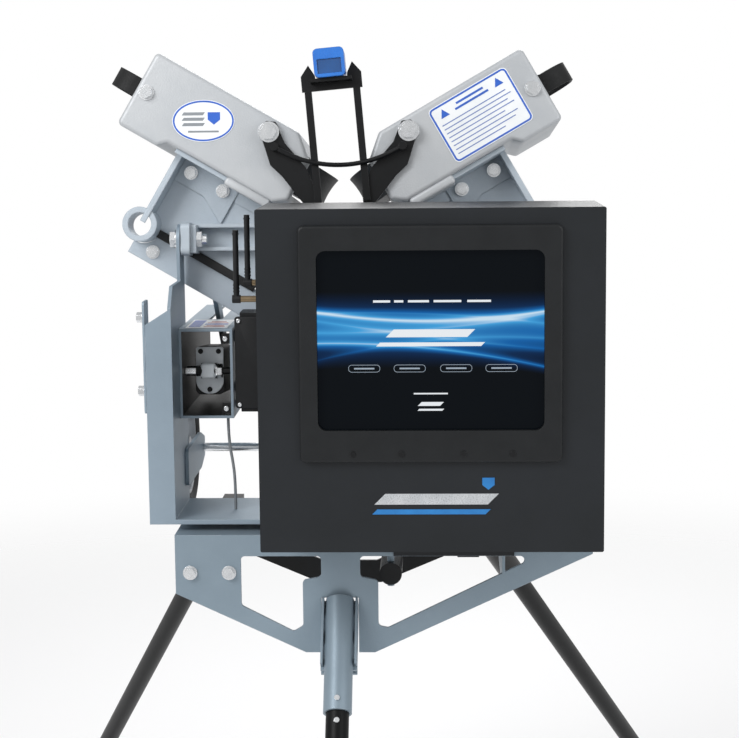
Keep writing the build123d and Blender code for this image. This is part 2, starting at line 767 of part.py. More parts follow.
fork_gap = lever_plate / 2 + 0.8
with BuildPart() as tilt_rod:
    disc(tilt_plane.offset(rod_inset), rod_radius, tilt_reach - rod_inset - 48)
    block(tilt_plane.offset(tilt_reach - 62), (-fork_gap - 5, fork_gap + 5), (-10, 10), 16)
    for side in (1, -1):
        cheek = side_plane(channel_x + side * fork_gap, lever_pin.Y, lever_pin.Z)
        disc(cheek, 13, side * 5)
        inner, outer = sorted((side * fork_gap, side * (fork_gap + 5)))
        block(tilt_plane.offset(tilt_reach - 50), (inner, outer), (-10, 10), 50)
    disc(side_plane(channel_x - fork_gap - 7, lever_pin.Y, lever_pin.Z), tilt_pin_radius, 2 * fork_gap + 14)
keep(tilt_rod, "tilt_rod")

# ---- electronics box between the yoke plates -----------------------------------------
channel_right = channel_x + channel_width / 2
electronics_left = channel_right + electronics_gap
electronics_bottom = channel_bottom + 10
with BuildPart() as electronics_box:
    block(Plane.XY.offset(electronics_bottom), (electronics_left, electronics_left + electronics_width),
          (electronics_front, electronics_rear), electronics_height, corner_radius=4)
    for rise in (37, 127):
        spacer = side_plane(electronics_left, electronics_rear - 16, electronics_bottom + rise)
        disc(spacer, 8, channel_right + press_gap - electronics_left)
keep(electronics_box, "electronics_box")

# ---- carrying wheels behind the yoke ---------------------------------------------------
with BuildPart() as wheel_brackets:
    for side in (1, -1):
        face = side_plane(side * (yoke_inner - press_gap))
        arm_outline = [
            (-20, carry_wheel_z - 32), (-20, carry_wheel_z + 33), (carry_wheel_y - 30, carry_wheel_z + 33),
            (carry_wheel_y + 22, carry_wheel_z + 17), (carry_wheel_y + 22, carry_wheel_z - 17),
            (carry_wheel_y - 30, carry_wheel_z - 32),
        ]
        slab(face, arm_outline, -side * bracket_thick, corner_radius=8)
        bolt_hole_plane = side_plane(side * yoke_inner, carry_wheel_y, carry_wheel_z)
        disc(bolt_hole_plane, axle_radius + press_gap / 2, -side * 2 * bracket_thick, Mode.SUBTRACT)
keep(wheel_brackets, "wheel_brackets")

with BuildPart() as carry_axle:
    half_axle = carry_wheel_x + tyre_width / 2 + 6
    disc(side_plane(-half_axle, carry_wheel_y, carry_wheel_z), axle_radius, 2 * half_axle)
    for side in (1, -1):
        disc(side_plane(side * (half_axle - 4), carry_wheel_y, carry_wheel_z), 14, side * 6)
        inner = side * (yoke_inner - press_gap + 1)
        disc(side_plane(inner, carry_wheel_y, carry_wheel_z), 13, side * 4)
keep(carry_axle, "carry_axle")

rim_outer = tyre_radius - tyre_wall
for side, name in ((-1, "left"), (1, "right")):
    centre = side_plane(side * carry_wheel_x, carry_wheel_y, carry_wheel_z)
    with BuildPart() as carry_tyre:
        with BuildSketch(Plane(centre.origin, x_dir=(0, 1, 0), z_dir=(0, 0, -1))) as profile:
            with Locations((rim_outer + tyre_wall / 2, 0)):
                Rectangle(tyre_wall, tyre_width)
            outer_corners = profile.vertices().group_by(Axis.Y)[-1]
            fillet(outer_corners, radius=tyre_wall * 0.45)
        revolve(profile.sketch, axis=Axis(centre.origin, (1, 0, 0)), revolution_arc=360)
    keep(carry_tyre, f"{name}_carry_tyre")
    with BuildPart() as carry_rim:
        half = tyre_width / 2 - 6
        with BuildSketch(centre.offset(-half)) as ring:
            Circle(rim_outer - press_gap / 2)
            Circle(rim_outer - 7, mode=Mode.SUBTRACT)
        extrude(ring.sketch, amount=2 * half)
        with BuildSketch(centre.offset(-6)) as spokes:
            Circle(26)
            with PolarLocations(0, 6):
                with Locations((rim_outer / 2, 0)):
                    Rectangle(rim_outer - 8, 16)
        extrude(spokes.sketch, amount=12)
        disc(centre.offset(-half), 20, 2 * half)
        disc(centre.offset(-half - 1), axle_radius + running_gap, 2 * half + 2, Mode.SUBTRACT)
    keep(carry_rim, f"{name}_carry_rim")

# ---- swivel bearing, shaft and pan drive --------------------------------------------
pan_pin = Vector(pan_x, pan_start, pan_height)
crank_pin = Vector(pan_x, pan_end, pan_height)
with BuildPart() as swivel_bearing:
    with BuildSketch(Plane.XY.offset(base_top + press_gap)) as ring:
        Circle(bearing_radius)
        Circle(bearing_radius - 40, mode=Mode.SUBTRACT)
    extrude(ring.sketch, amount=bearing_height - press_gap - 0.5)
keep(swivel_bearing, "swivel_bearing")

with BuildPart() as swivel_shaft:
    top = yoke_bottom + yoke_plate + 2 + press_gap
    disc(Plane.XY.offset(pan_height - crank_half), swivel_shaft_radius, top - pan_height + crank_half)
    disc(Plane.XY.offset(top), swivel_shaft_radius + 12, 10)
    crank_length = hypot(crank_pin.X, crank_pin.Y)
    crank_dir = Vector(crank_pin.X, crank_pin.Y, 0).normalized()
    crank_plane = Plane(Vector(0, 0, pan_height - crank_half), x_dir=crank_dir, z_dir=(0, 0, 1))
    slab(crank_plane, [(0, -22), (crank_length, -12), (crank_length, 12), (0, 22)], 2 * crank_half)
    disc(moved(crank_plane, crank_length, 0), 13, 2 * crank_half)
    disc(moved(crank_plane, crank_length, 0, -1), tilt_pin_radius + crank_slop, 2 * crank_half + 2,
         Mode.SUBTRACT)
keep(swivel_shaft, "swivel_shaft")

pan_reach = crank_pin.Y - pan_pin.Y
pan_plane = Plane(pan_pin, x_dir=(1, 0, 0), z_dir=(0, 1, 0))
with BuildPart() as pan_actuator:
    disc(pan_plane.offset(-18), 19, 100)
    post_way = Plane.XY.offset(pan_height - 20).move(Location((pan_pin.X, pan_pin.Y, 0)))
    disc(post_way, tilt_pin_radius + running_gap, 40, Mode.SUBTRACT)
    disc(pan_plane.offset(24), pan_rod_radius + running_gap, 80, Mode.SUBTRACT)
keep(pan_actuator, "pan_actuator")

with BuildPart() as pan_rod:
    disc(pan_plane.offset(34), pan_rod_radius, pan_reach - 34 - 30)
    block(pan_plane.offset(pan_reach - 40), (-9, 9), (-crank_half - 6, crank_half + 6), 14)
    for side in (1, -1):
        cheek = Plane.XY.offset(pan_height + side * (crank_half + 0.8)).move(
            Location((crank_pin.X, crank_pin.Y, 0)))
        disc(cheek, 9, side * 5.2)
        low, high = sorted((side * (crank_half + 0.8), side * (crank_half + 6)))
        block(pan_plane.offset(pan_reach - 30), (-9, 9), (low, high), 30)
    pin_base = Plane.XY.offset(pan_height - crank_half - 8).move(Location((crank_pin.X, crank_pin.Y, 0)))
    disc(pin_base, tilt_pin_radius, 2 * crank_half + 16)
keep(pan_rod, "pan_rod")

# ---- base housing -----------------------------------------------------------------------
front = Plane.XZ.offset(-base_front)
side_low = base_top - base_side_height
slope = (side_low - base_bottom) / (base_half_width - base_foot_half_width)
wing_low = base_bottom + slope * (wing_end - base_foot_half_width)
with BuildPart() as base_housing:
    outline = [
        (-base_half_width, base_top), (-base_half_width, side_low), (-base_foot_half_width, base_bottom),
        (base_foot_half_width, base_bottom), (wing_end, wing_low), (wing_end, base_top),
    ]
    slab(front, outline, -sheet, corner_radius=3)
    # notch for the front leg's channel, and the two big windows
    block(front, (-notch_half_width, notch_half_width), (base_bottom - 10, notch_top), -sheet, Mode.SUBTRACT)
    lower_edge = base_bottom + window_strip
    left_window = [(-165, window_top), (-31, window_top), (-31, 803), (-62, 797), (-62, lower_edge + 8),
                   (-78, lower_edge - 2), (-165, lower_edge + slope * 92)]
    right_window = [(34, window_top), (330, window_top), (80, lower_edge + slope * 10),
                    (64, lower_edge + 8), (64, 797), (34, 803)]
    for corners in (left_window, right_window):
        slab(front.offset(1), corners, -sheet - 2, Mode.SUBTRACT, corner_radius=7)
    deck = Plane.XY.offset(base_top - sheet)
    block(deck, (-base_half_width, base_half_width), (base_front, base_rear), sheet)
    for side in (1, -1):
        wall = side_plane(side * base_half_width)
        slab(wall, [(base_front, side_low), (base_rear, side_low + 30), (base_rear, base_top),
                    (base_front, base_top)], -side * sheet)
    disc(deck.offset(-1), swivel_shaft_radius + running_gap, sheet + 2, Mode.SUBTRACT)
    # post that the pan actuator turns on
    post_low = pan_height - 24
    disc(Plane.XY.offset(post_low).move(Location((pan_pin.X, pan_pin.Y, 0))), tilt_pin_radius,
         base_top - sheet - post_low)
    for x in housing_bolt_places:
        bolt_hole(moved(front, x, housing_bolt_height), casting_bolt, sheet)
keep(base_housing, "base_housing")

# ---- legs --------------------------------------------------------------------------------
leg_specs = {
    "front": (Vector(0, base_front - front_leg_gap, front_leg_height), Vector(0, -front_out, -1)),
    "left": (Vector(-rear_leg_x, rear_leg_y, rear_leg_height), Vector(-rear_leg_out, rear_leg_back, -1)),
    "right": (Vector(rear_leg_x, rear_leg_y, rear_leg_height), Vector(rear_leg_out, rear_leg_back, -1)),
}


def leg_plane(name):
    """Looks down the leg from the point where it leaves the base."""
    root, direction = leg_specs[name]
    level = Vector(0, 0, 1).cross(direction).normalized()
    return Plane(root, x_dir=level, z_dir=direction.normalized())


def leg_drop(name):
    """Length of the leg from its root to the sole of its foot."""
    root, direction = leg_specs[name]
    return root.Z * direction.length


def socket_end(name):
    """How far below the leg's root its socket ends."""
    return socket_front_length if name == "front" else socket_rear_length


rear_plate_y = rear_leg_y - 12
rail_top = base_top - sheet - press_gap
frame_corner = rear_frame_shoulder + 8
with BuildPart() as rear_frame:
    rear = Plane.XZ.offset(-rear_plate_y)
    half_outline = [(base_half_width, rear_frame_top), (base_half_width, rear_frame_shoulder),
                    (base_foot_half_width, rear_frame_low)]
    slab(rear, half_outline + [(-x, z) for x, z in reversed(half_outline)], -rear_frame_plate)
    half_window = [(rail_inner - 6, rear_frame_top - 30), (rail_inner - 6, frame_corner),
                   (base_foot_half_width - 8, rear_frame_low + 42)]
    slab(rear.offset(1), half_window + [(-x, z) for x, z in reversed(half_window)], -rear_frame_plate - 2,
         Mode.SUBTRACT)
    for side in (1, -1):
        inner, outer = sorted((side * rail_inner, side * (rail_inner + rail_width)))
        block(rear, (inner, outer), (rail_top - rail_depth, rail_top),
              rear_plate_y - base_front - sheet - press_gap)
    for name in ("left", "right"):
        plane = leg_plane(name)
        disc(plane, socket_radius, socket_end(name))
        disc(plane.offset(-1), leg_radius + leg_fit, socket_end(name) + 2, Mode.SUBTRACT)
keep(rear_frame, "rear_frame")

with BuildPart() as front_leg_socket:
    plane = leg_plane("front")
    disc(plane.offset(-socket_head), socket_radius, socket_front_length + socket_head)
    # channel round the upper part of the sleeve, with two slots in each cheek
    cheek_half = notch_half_width - 1
    head = plane.offset(-socket_head)
    block(head, (-cheek_half, cheek_half), (-socket_radius - 4, -socket_radius + 2), 122)
    for side in (1, -1):
        inner, outer = sorted((side * (cheek_half - 4), side * cheek_half))
        block(head, (inner, outer), (-socket_radius - 4, 10), 116)
        inner, outer = sorted((side * (socket_radius - 1), side * cheek_half))
        block(head, (inner, outer), (-10, -4), 122)
        inner, outer = sorted((side * (cheek_half - 5), side * (cheek_half + 1)))
        for start in (8, 58):
            block(plane.offset(start), (inner, outer), (-3, 4), 28, Mode.SUBTRACT)
    disc(plane.offset(-socket_head - 1), leg_radius + leg_fit, socket_front_length + socket_head + 2,
         Mode.SUBTRACT)
keep(front_leg_socket, "front_leg_socket")

for name in leg_specs:
    plane = leg_plane(name)
    length = leg_drop(name)
    foot_clear = foot_height * leg_specs[name][1].length
    start = socket_end(name) - leg_inside
    with BuildPart() as leg:
        with BuildSketch(plane.offset(start)) as tube:
            Circle(leg_radius)
            Circle(leg_radius - leg_wall, mode=Mode.SUBTRACT)
        extrude(tube.sketch, amount=length - foot_clear - start + leg_radius * 1.2)
        split(bisect_by=Plane.XY.offset(foot_height), keep=Keep.TOP)
    keep(leg, f"{name}_leg")

with BuildPart() as rubber_feet:
    for name in leg_specs:
        root, direction = leg_specs[name]
        spot = root + direction * root.Z
        disc(Plane(spot, x_dir=(1, 0, 0), z_dir=(0, 0, 1)), foot_radius, foot_height - press_gap)
keep(rubber_feet, "rubber_feet")

# ---- control box ---------------------------------------------------------------------------
box_plane = Plane.XZ.offset(-box_front)
box_left = box_centre_x - box_width / 2
box_right = box_centre_x + box_width / 2
box_top = box_bottom + box_height
box_rear = box_front + box_depth
with BuildPart() as control_box:
    block(box_plane, (box_left, box_right), (box_bottom, box_top), -box_depth, corner_radius=3)
    block(box_plane.offset(-box_wall), (box_left + box_wall, box_right - box_wall),
          (box_bottom + box_wall, box_top - box_wall), -box_depth, Mode.SUBTRACT)
    window = (box_centre_x - window_width / 2, box_centre_x + window_width / 2)
    window_middle = bezel_centre_z + window_rise
    window_z = (window_middle - window_height / 2, window_middle + window_height / 2)
    block(box_plane.offset(1), window, window_z, -2 * box_wall, Mode.SUBTRACT, corner_radius=window_corner)
    cut = side_plane(box_right + 1, inlet_y, inlet_z)
    block(cut, (-14, 14), (-34, 34), -box_wall - 2, Mode.SUBTRACT)
keep(control_box, "control_box")

with BuildPart() as control_box_back:
    back_face = box_plane.offset(-box_depth + box_wall)
    gap = box_wall + press_gap
    block(back_face, (box_left + gap, box_right - gap), (box_bottom + gap, box_top - gap), -box_wall)
    # hanger that bolts the box to the base housing's front plate
    block(back_face.offset(-box_wall), (hanger_left, hanger_right), (base_top - 34, base_top + 150),
          box_rear - base_front + press_gap)
keep(control_box_back, "control_box_back")

with BuildPart() as screen_bezel:
    rim = box_plane.offset(press_gap)
    left, right = box_centre_x - bezel_width / 2, box_centre_x + bezel_width / 2
    low, high = bezel_centre_z - bezel_height / 2, bezel_centre_z + bezel_height / 2
    block(rim, (left, right), (low, high), bezel_depth, corner_radius=10)
    fillet(screen_bezel.faces().sort_by(Axis.Y)[0].edges(), radius=4)
    block(rim.offset(-1), window, window_z, bezel_depth + 2, Mode.SUBTRACT, corner_radius=window_corner)
    for x in bezel_screw_places:
        bolt_hole(moved(rim, box_centre_x + x, low + 14, bezel_depth), 5, bezel_depth - 1)
keep(screen_bezel, "screen_bezel")

with BuildPart() as bezel_screws:
    for x in bezel_screw_places:
        seat = moved(rim, box_centre_x + x, low + 14, bezel_depth)
        disc(seat, 4.5, 1.6)
        disc(seat, 2.5, -bezel_depth + 2)
keep(bezel_screws, "bezel_screws")

with BuildPart() as screen_glass:
    pane = box_plane.offset(-box_wall)
    block(pane, (window[0] + glass_gap, window[1] - glass_gap),
          (window_z[0] + glass_gap, window_z[1] - glass_gap), box_wall + 2,
          corner_radius=window_corner - glass_gap)
keep(screen_glass, "screen_glass")

with BuildPart() as display_module:
    behind = pane.offset(-press_gap)
    block(behind, (window[0] - 12, window[1] + 12), (window_z[0] - 12, window_z[1] + 12), -28)
keep(display_module, "display_module")

# power inlet and its rocker switch on the box's right wall
with BuildPart() as power_inlet:
    plate = side_plane(box_right + press_gap, inlet_y, inlet_z)
    block(plate, (-19, 19), (-40, 40), 3, corner_radius=3)
    block(plate, (-13, 13), (-33, 0), -22)
    block(plate.offset(4), (-10, 10), (-28, -6), -20, Mode.SUBTRACT)
    block(plate.offset(-1), (-8, 8), (7, 31), 6, Mode.SUBTRACT)
keep(power_inlet, "power_inlet")

with BuildPart() as power_rocker:
    plate = side_plane(box_right + press_gap, inlet_y, inlet_z + 19)
    block(plate.offset(-4), (-7.5, 7.5), (-10.6, 10.6), 8.5)
    stub = Plane(plate.origin + plate.z_dir * -2 + Vector(0, -7.8, 0), x_dir=(1, 0, 0), z_dir=(0, 1, 0))
    disc(stub, rocker_stub_radius, 15.6)
keep(power_rocker, "power_rocker")

# ---- antennas on the box's left wall ------------------------------------------------------
antenna_names = {
    "front": (box_left - front_antenna_reach, -300.0, 1281.0),
    "rear": (box_left - rear_antenna_reach, -250.0, 1302.0),
}
with BuildPart() as antenna_stubs:
    for x, y, z in antenna_names.values():
        tip_x = x + knuckle / 2 + press_gap
        disc(side_plane(tip_x, y, z), stub_radius, box_left - press_gap - tip_x)
keep(antenna_stubs, "antenna_stubs")

for name, (x, y, z) in antenna_names.items():
    with BuildPart() as antenna:
        disc(side_plane(x - knuckle / 2, y, z), antenna_radius + 2, knuckle)
        rod = Plane(Vector(x, y, z), x_dir=(1, 0, 0), z_dir=(0, 0, 1))
        disc(rod, antenna_radius, antenna_length)
    keep(antenna, f"{name}_antenna")

# ---- bolts of the base and yoke, and the actuator's cable -----------------------------------
with BuildPart() as base_fasteners:
    for x in housing_bolt_places:
        hex_bolt(moved(front, x, housing_bolt_height), casting_bolt, sheet)
    for name in leg_specs:
        plane = leg_plane(name)
        for drop in (socket_end(name) - button_drop, socket_end(name) + button_drop):
            surface = socket_radius if drop < socket_end(name) else leg_radius
            outward = Plane(plane.origin + plane.z_dir * drop + plane.y_dir * (surface + press_gap),
                            x_dir=plane.x_dir, z_dir=plane.y_dir)
            disc(outward, button_radius, 2.5)
keep(base_fasteners, "base_fasteners")

cable_top = Vector(channel_x + 34, -50, channel_bottom - press_gap)
cable_low = Vector(channel_x + 46, -66, yoke_bottom + yoke_plate + 2 + press_gap)
cable_route = [cable_top, cable_top + Vector(0, 0, -40), cable_top + Vector(9, -9, -84),
               cable_low + Vector(0, 0, 42), cable_low]
cable_arcs = []
for before, corner, after in zip(cable_route, cable_route[1:], cable_route[2:]):
    run_in = corner - before
    run_out = after - corner
    half_turn = radians(run_in.get_angle(run_out)) / 2
    cable_arcs.append(arc_share * min(run_in.length, run_out.length) / tan(half_turn))
print("cable arcs in mm:", [round(radius, 1) for radius in cable_arcs])
with BuildPart() as tilt_cable:
    with BuildLine() as route:
        FilletPolyline(*cable_route, radius=cable_arcs)
    with BuildSketch(Plane(cable_top, x_dir=(1, 0, 0), z_dir=(0, 0, -1))) as section:
        Circle(cable_radius)
    sweep(section.sketch, path=route.line)
keep(tilt_cable, "tilt_cable")
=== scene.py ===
import json
import math

import bmesh
import bpy
from mathutils import Matrix, Vector


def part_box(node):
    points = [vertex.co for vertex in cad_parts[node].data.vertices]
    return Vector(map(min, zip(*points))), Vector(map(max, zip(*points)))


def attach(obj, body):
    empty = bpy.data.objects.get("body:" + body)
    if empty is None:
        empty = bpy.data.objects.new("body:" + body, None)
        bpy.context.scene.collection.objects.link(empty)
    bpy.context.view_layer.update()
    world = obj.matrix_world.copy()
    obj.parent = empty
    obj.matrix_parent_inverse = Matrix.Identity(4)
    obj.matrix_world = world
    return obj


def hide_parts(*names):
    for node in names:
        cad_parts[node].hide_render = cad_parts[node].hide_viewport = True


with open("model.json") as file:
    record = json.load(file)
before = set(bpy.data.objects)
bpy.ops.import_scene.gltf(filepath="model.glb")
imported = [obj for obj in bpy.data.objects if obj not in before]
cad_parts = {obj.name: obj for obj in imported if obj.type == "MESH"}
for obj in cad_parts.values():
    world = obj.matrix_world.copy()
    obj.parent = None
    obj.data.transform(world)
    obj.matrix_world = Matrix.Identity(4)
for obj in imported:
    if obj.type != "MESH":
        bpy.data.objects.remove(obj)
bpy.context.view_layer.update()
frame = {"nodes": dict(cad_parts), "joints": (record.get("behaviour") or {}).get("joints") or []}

joints = {joint["name"]: joint for joint in frame["joints"]}
swivel = Vector(joints["pan"]["pos_m"])


# ---- Studio --------------------------------------------------------------------------------------
# A pale floor that fades out a few metres from the machine, a white surround, and soft broad
# lights above the operator's shoulders. The camera stands where the operator does.
floor_reach = 12.0
fade_start, fade_end = 1.6, 4.5
daylight = 0.62
white = (1, 1, 1, 1)
floor_mesh = bmesh.new()
bmesh.ops.create_grid(floor_mesh, x_segments=1, y_segments=1, size=floor_reach)
floor_data = bpy.data.meshes.new("floor")
floor_mesh.to_mesh(floor_data)
floor_mesh.free()
floor = bpy.data.objects.new("floor", floor_data)
bpy.context.scene.collection.objects.link(floor)
floor_paint = bpy.data.materials.new("floor_paint")
floor_paint.use_nodes = True
floor_nodes, floor_links = floor_paint.node_tree.nodes, floor_paint.node_tree.links
floor_shader = floor_nodes["Principled BSDF"]
floor_shader.inputs["Base Color"].default_value = (0.88, 0.88, 0.885, 1)
floor_shader.inputs["Roughness"].default_value = 0.8
floor_place = floor_nodes.new("ShaderNodeTexCoord")
floor_distance = floor_nodes.new("ShaderNodeVectorMath")
floor_distance.operation = "LENGTH"
floor_links.new(floor_place.outputs["Object"], floor_distance.inputs[0])
floor_fade = floor_nodes.new("ShaderNodeMapRange")
floor_fade.interpolation_type = "SMOOTHSTEP"
floor_fade.inputs["From Min"].default_value = fade_start
floor_fade.inputs["From Max"].default_value = fade_end
floor_links.new(floor_distance.outputs["Value"], floor_fade.inputs["Value"])
floor_clear = floor_nodes.new("ShaderNodeBsdfTransparent")
floor_mix = floor_nodes.new("ShaderNodeMixShader")
floor_links.new(floor_fade.outputs["Result"], floor_mix.inputs["Fac"])
floor_links.new(floor_shader.outputs["BSDF"], floor_mix.inputs[1])
floor_links.new(floor_clear.outputs["BSDF"], floor_mix.inputs[2])
floor_links.new(floor_mix.outputs["Shader"], floor_nodes["Material Output"].inputs["Surface"])
floor_data.materials.append(floor_paint)

surround = bpy.data.worlds.new("surround")
surround.use_nodes = True
sky_nodes, sky_links = surround.node_tree.nodes, surround.node_tree.links
sky = sky_nodes["Background"]
sky.inputs["Color"].default_value = white
sky.inputs["Strength"].default_value = daylight
backdrop = sky_nodes.new("ShaderNodeBackground")
backdrop.inputs["Color"].default_value = white
backdrop.inputs["Strength"].default_value = 1.0
seen_by = sky_nodes.new("ShaderNodeLightPath")
sky_mix = sky_nodes.new("ShaderNodeMixShader")
sky_links.new(seen_by.outputs["Is Camera Ray"], sky_mix.inputs["Fac"])
sky_links.new(sky.outputs["Background"], sky_mix.inputs[1])
sky_links.new(backdrop.outputs["Background"], sky_mix.inputs[2])
sky_links.new(sky_mix.outputs["Shader"], sky_nodes["World Output"].inputs["Surface"])
bpy.context.scene.world = surround
bpy.context.scene.view_settings.view_transform = "Standard"

# Each softbox has its offset from the swivel, its side and its power in watts.
aim_point = swivel + Vector((0.0, 0.0, 0.27))
softboxes = {
    "key_light": ((-2.0, -2.4, 2.2), 1.7, 78),
    "fill_light": ((2.4, -2.0, 1.3), 2.0, 30),
    "back_light": ((0.6, 2.8, 2.3), 2.2, 60),
}
for light_name, (offset, size, power) in softboxes.items():
    lamp = bpy.data.lights.new(light_name, "AREA")
    lamp.shape = "SQUARE"
    lamp.size = size
    lamp.energy = power
    light = bpy.data.objects.new(light_name, lamp)
    light.location = swivel + Vector(offset)
    light.rotation_euler = (aim_point - light.location).to_track_quat("-Z", "Y").to_euler()
    bpy.context.scene.collection.objects.link(light)

camera_data = bpy.data.cameras.new("camera")
camera_data.sensor_width = 36.0
camera_data.lens = 90.0
camera = bpy.data.objects.new("camera", camera_data)
bpy.context.scene.collection.objects.link(camera)
camera_side, camera_back, camera_height = 0.165, 3.175, 1.571
turn_left, look_down, lean = (math.radians(angle) for angle in (2.14, 7.95, -0.57))
level_view = Matrix.Rotation(turn_left, 4, "Z") @ Matrix.Rotation(math.pi / 2 - look_down, 4, "X")
eye = Matrix.Translation((camera_side, swivel.y - camera_back, camera_height))
camera.matrix_world = eye @ level_view @ Matrix.Rotation(lean, 4, "Z")
bpy.context.scene.camera = camera


# ---- Cable of the tilt drive ---------------------------------------------------------------------
# A grey five-millimetre control lead that drops from the channel's floor to the yoke's foot.
# It is a round vinyl jacket, held at both ends by the holes it passes through.
def tint(code):
    """A colour written as six hex digits, as linear values."""
    parts = [int(code[start:start + 2], 16) / 255 for start in (0, 2, 4)]
    return tuple(p / 12.92 if p <= 0.04045 else ((p + 0.055) / 1.055) ** 2.4 for p in parts) + (1.0,)


def node(tree, kind, settings=None, **inputs):
    """Adds a shader node. Each input is a value, or another node's output."""
    made = tree.nodes.new("ShaderNode" + kind)
    for setting, value in (settings or {}).items():
        setattr(made, setting, value)
    for word, value in inputs.items():
        socket = made.inputs[word.replace("_", " ")]
        if isinstance(value, bpy.types.NodeSocket):
            tree.links.new(value, socket)
        else:
            socket.default_value = value
    return made


def finish(name, colour, second, rough, metal=0.0, mottle=9.0, grain=500.0, grain_height=0.15,
           edge=0.0012, worn=None, gloss_change=0.12, coat=0.0, specular=0.5):
    """A surface with mottled colour, fine grain, softened edges and, where worn is given, rubbed edges."""
    material = bpy.data.materials.new(name)
    material.use_nodes = True
    tree = material.node_tree
    shader = tree.nodes["Principled BSDF"]
    place = node(tree, "TexCoord").outputs["Object"]
    clouds = node(tree, "TexNoise", Vector=place, Scale=mottle, Detail=6.0, Roughness=0.62)
    fine = node(tree, "TexNoise", Vector=place, Scale=grain, Detail=3.0, Roughness=0.55)
    blotch = node(tree, "MapRange", Value=clouds.outputs["Fac"], From_Min=0.35, From_Max=0.65)
    colour_mix = node(tree, "MixRGB", Fac=blotch.outputs["Result"], Color1=tint(colour),
                      Color2=tint(second))
    shown = colour_mix.outputs["Color"]
    rounded = node(tree, "Bevel", {"samples": 4}, Radius=edge)
    if worn:
        flat = node(tree, "NewGeometry").outputs["Normal"]
        bend = node(tree, "VectorMath", {"operation": "DOT_PRODUCT"})
        tree.links.new(rounded.outputs["Normal"], bend.inputs[0])
        tree.links.new(flat, bend.inputs[1])
        edges = node(tree, "MapRange", Value=bend.outputs["Value"], From_Min=0.985, From_Max=0.86)
        rubbed = node(tree, "TexNoise", Vector=place, Scale=60.0, Detail=4.0)
        patchy = node(tree, "MapRange", Value=rubbed.outputs["Fac"], From_Min=0.42, From_Max=0.62)
        both = node(tree, "Math", {"operation": "MULTIPLY"})
        tree.links.new(edges.outputs["Result"], both.inputs[0])
        tree.links.new(patchy.outputs["Result"], both.inputs[1])
        edge_mix = node(tree, "MixRGB", Fac=both.outputs["Value"], Color1=shown, Color2=tint(worn))
        shown = edge_mix.outputs["Color"]
    tree.links.new(shown, shader.inputs["Base Color"])
    dull = node(tree, "MapRange", Value=fine.outputs["Fac"], From_Min=0.3, From_Max=0.7,
                To_Min=rough - gloss_change / 2, To_Max=rough + gloss_change / 2)
    tree.links.new(dull.outputs["Result"], shader.inputs["Roughness"])
    bump = node(tree, "Bump", Height=fine.outputs["Fac"], Normal=rounded.outputs["Normal"],
                Strength=grain_height, Distance=0.001)
    tree.links.new(bump.outputs["Normal"], shader.inputs["Normal"])
    shader.inputs["Metallic"].default_value = metal
    shader.inputs["Coat Weight"].default_value = coat
    shader.inputs["Coat Roughness"].default_value = 0.12
    shader.inputs["Specular IOR Level"].default_value = specular
    return material


cable_jacket = finish("cable_jacket", "8C9094", "7F8387", 0.48, mottle=40.0, grain=900.0, edge=0.0004)
cable_points = [
    (-0.1958, swivel.y - 0.0500, 1.0528), (-0.1958, swivel.y - 0.0500, 1.0128),
    (-0.1868, swivel.y - 0.0590, 0.9688), (-0.1838, swivel.y - 0.0660, 0.9362),
    (-0.1838, swivel.y - 0.0660, 0.8942),
]
cable_radius = 0.0025
cable_curve = bpy.data.curves.new("tilt_lead", "CURVE")
cable_curve.dimensions = "3D"
cable_curve.bevel_depth = cable_radius
cable_curve.bevel_resolution = 5
cable_curve.resolution_u = 16
cable_curve.use_fill_caps = True
cable_line = cable_curve.splines.new("NURBS")
cable_line.points.add(len(cable_points) - 1)
for point, spot in zip(cable_line.points, cable_points):
    point.co = (*spot, 1.0)
cable_line.order_u = 3
cable_line.use_endpoint_u = True
cable_curve.materials.append(cable_jacket)
tilt_lead = bpy.data.objects.new("tilt_lead", cable_curve)
bpy.context.scene.collection.objects.link(tilt_lead)
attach(tilt_lead, "yoke")
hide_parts("tilt_cable")


# ---- Base housing and front sleeve ---------------------------------------------------------------
# The folded five-millimetre steel front of the base, and the sleeve that takes the front leg.
# Both are laser cut, bent, welded and powder coated in a cool blue-grey.
def dress(material, *names):
    """Gives carried-over pieces their finish."""
    for name in names:
        piece = frame["nodes"][name]
        if not piece.data.materials:
            piece.data.materials.append(None)
        for slot in piece.material_slots:
            slot.material = material


sheet_coat = finish("sheet_coat", "8797A3", "7E8E9A", 0.42, metal=0.25, mottle=5.0, grain=420.0,
                    grain_height=0.22, edge=0.0016, worn="B4BEC5")
dress(sheet_coat, "base_housing", "front_leg_socket")


# ---- Rear frame and legs -------------------------------------------------------------------------
# Welded cross plate with two rails and sockets, and three steel tubes that plug into the base.
# All of it is black semi-gloss powder coat, scuffed where the tubes slide.
black_coat = finish("black_coat", "0D0E0F", "131416", 0.36, mottle=14.0, grain=700.0, grain_height=0.16,
                    edge=0.0014, worn="3C3E41", specular=0.25)
dress(black_coat, "rear_frame")
leg_coat = finish("leg_coat", "090A0B", "0F1011", 0.40, mottle=22.0, grain=900.0, grain_height=0.10,
                  edge=0.0010, specular=0.15)
dress(leg_coat, "front_leg", "left_leg", "right_leg")


# ---- Feet ----------------------------------------------------------------------------------------
# Moulded rubber pucks, dull black and dusty, that stop the legs from sliding on turf or a floor.
foot_rubber = finish("foot_rubber", "1C1C1C", "2A2927", 0.78, mottle=35.0, grain=650.0, grain_height=0.35,
                     specular=0.3)
dress(foot_rubber, "rubber_feet")


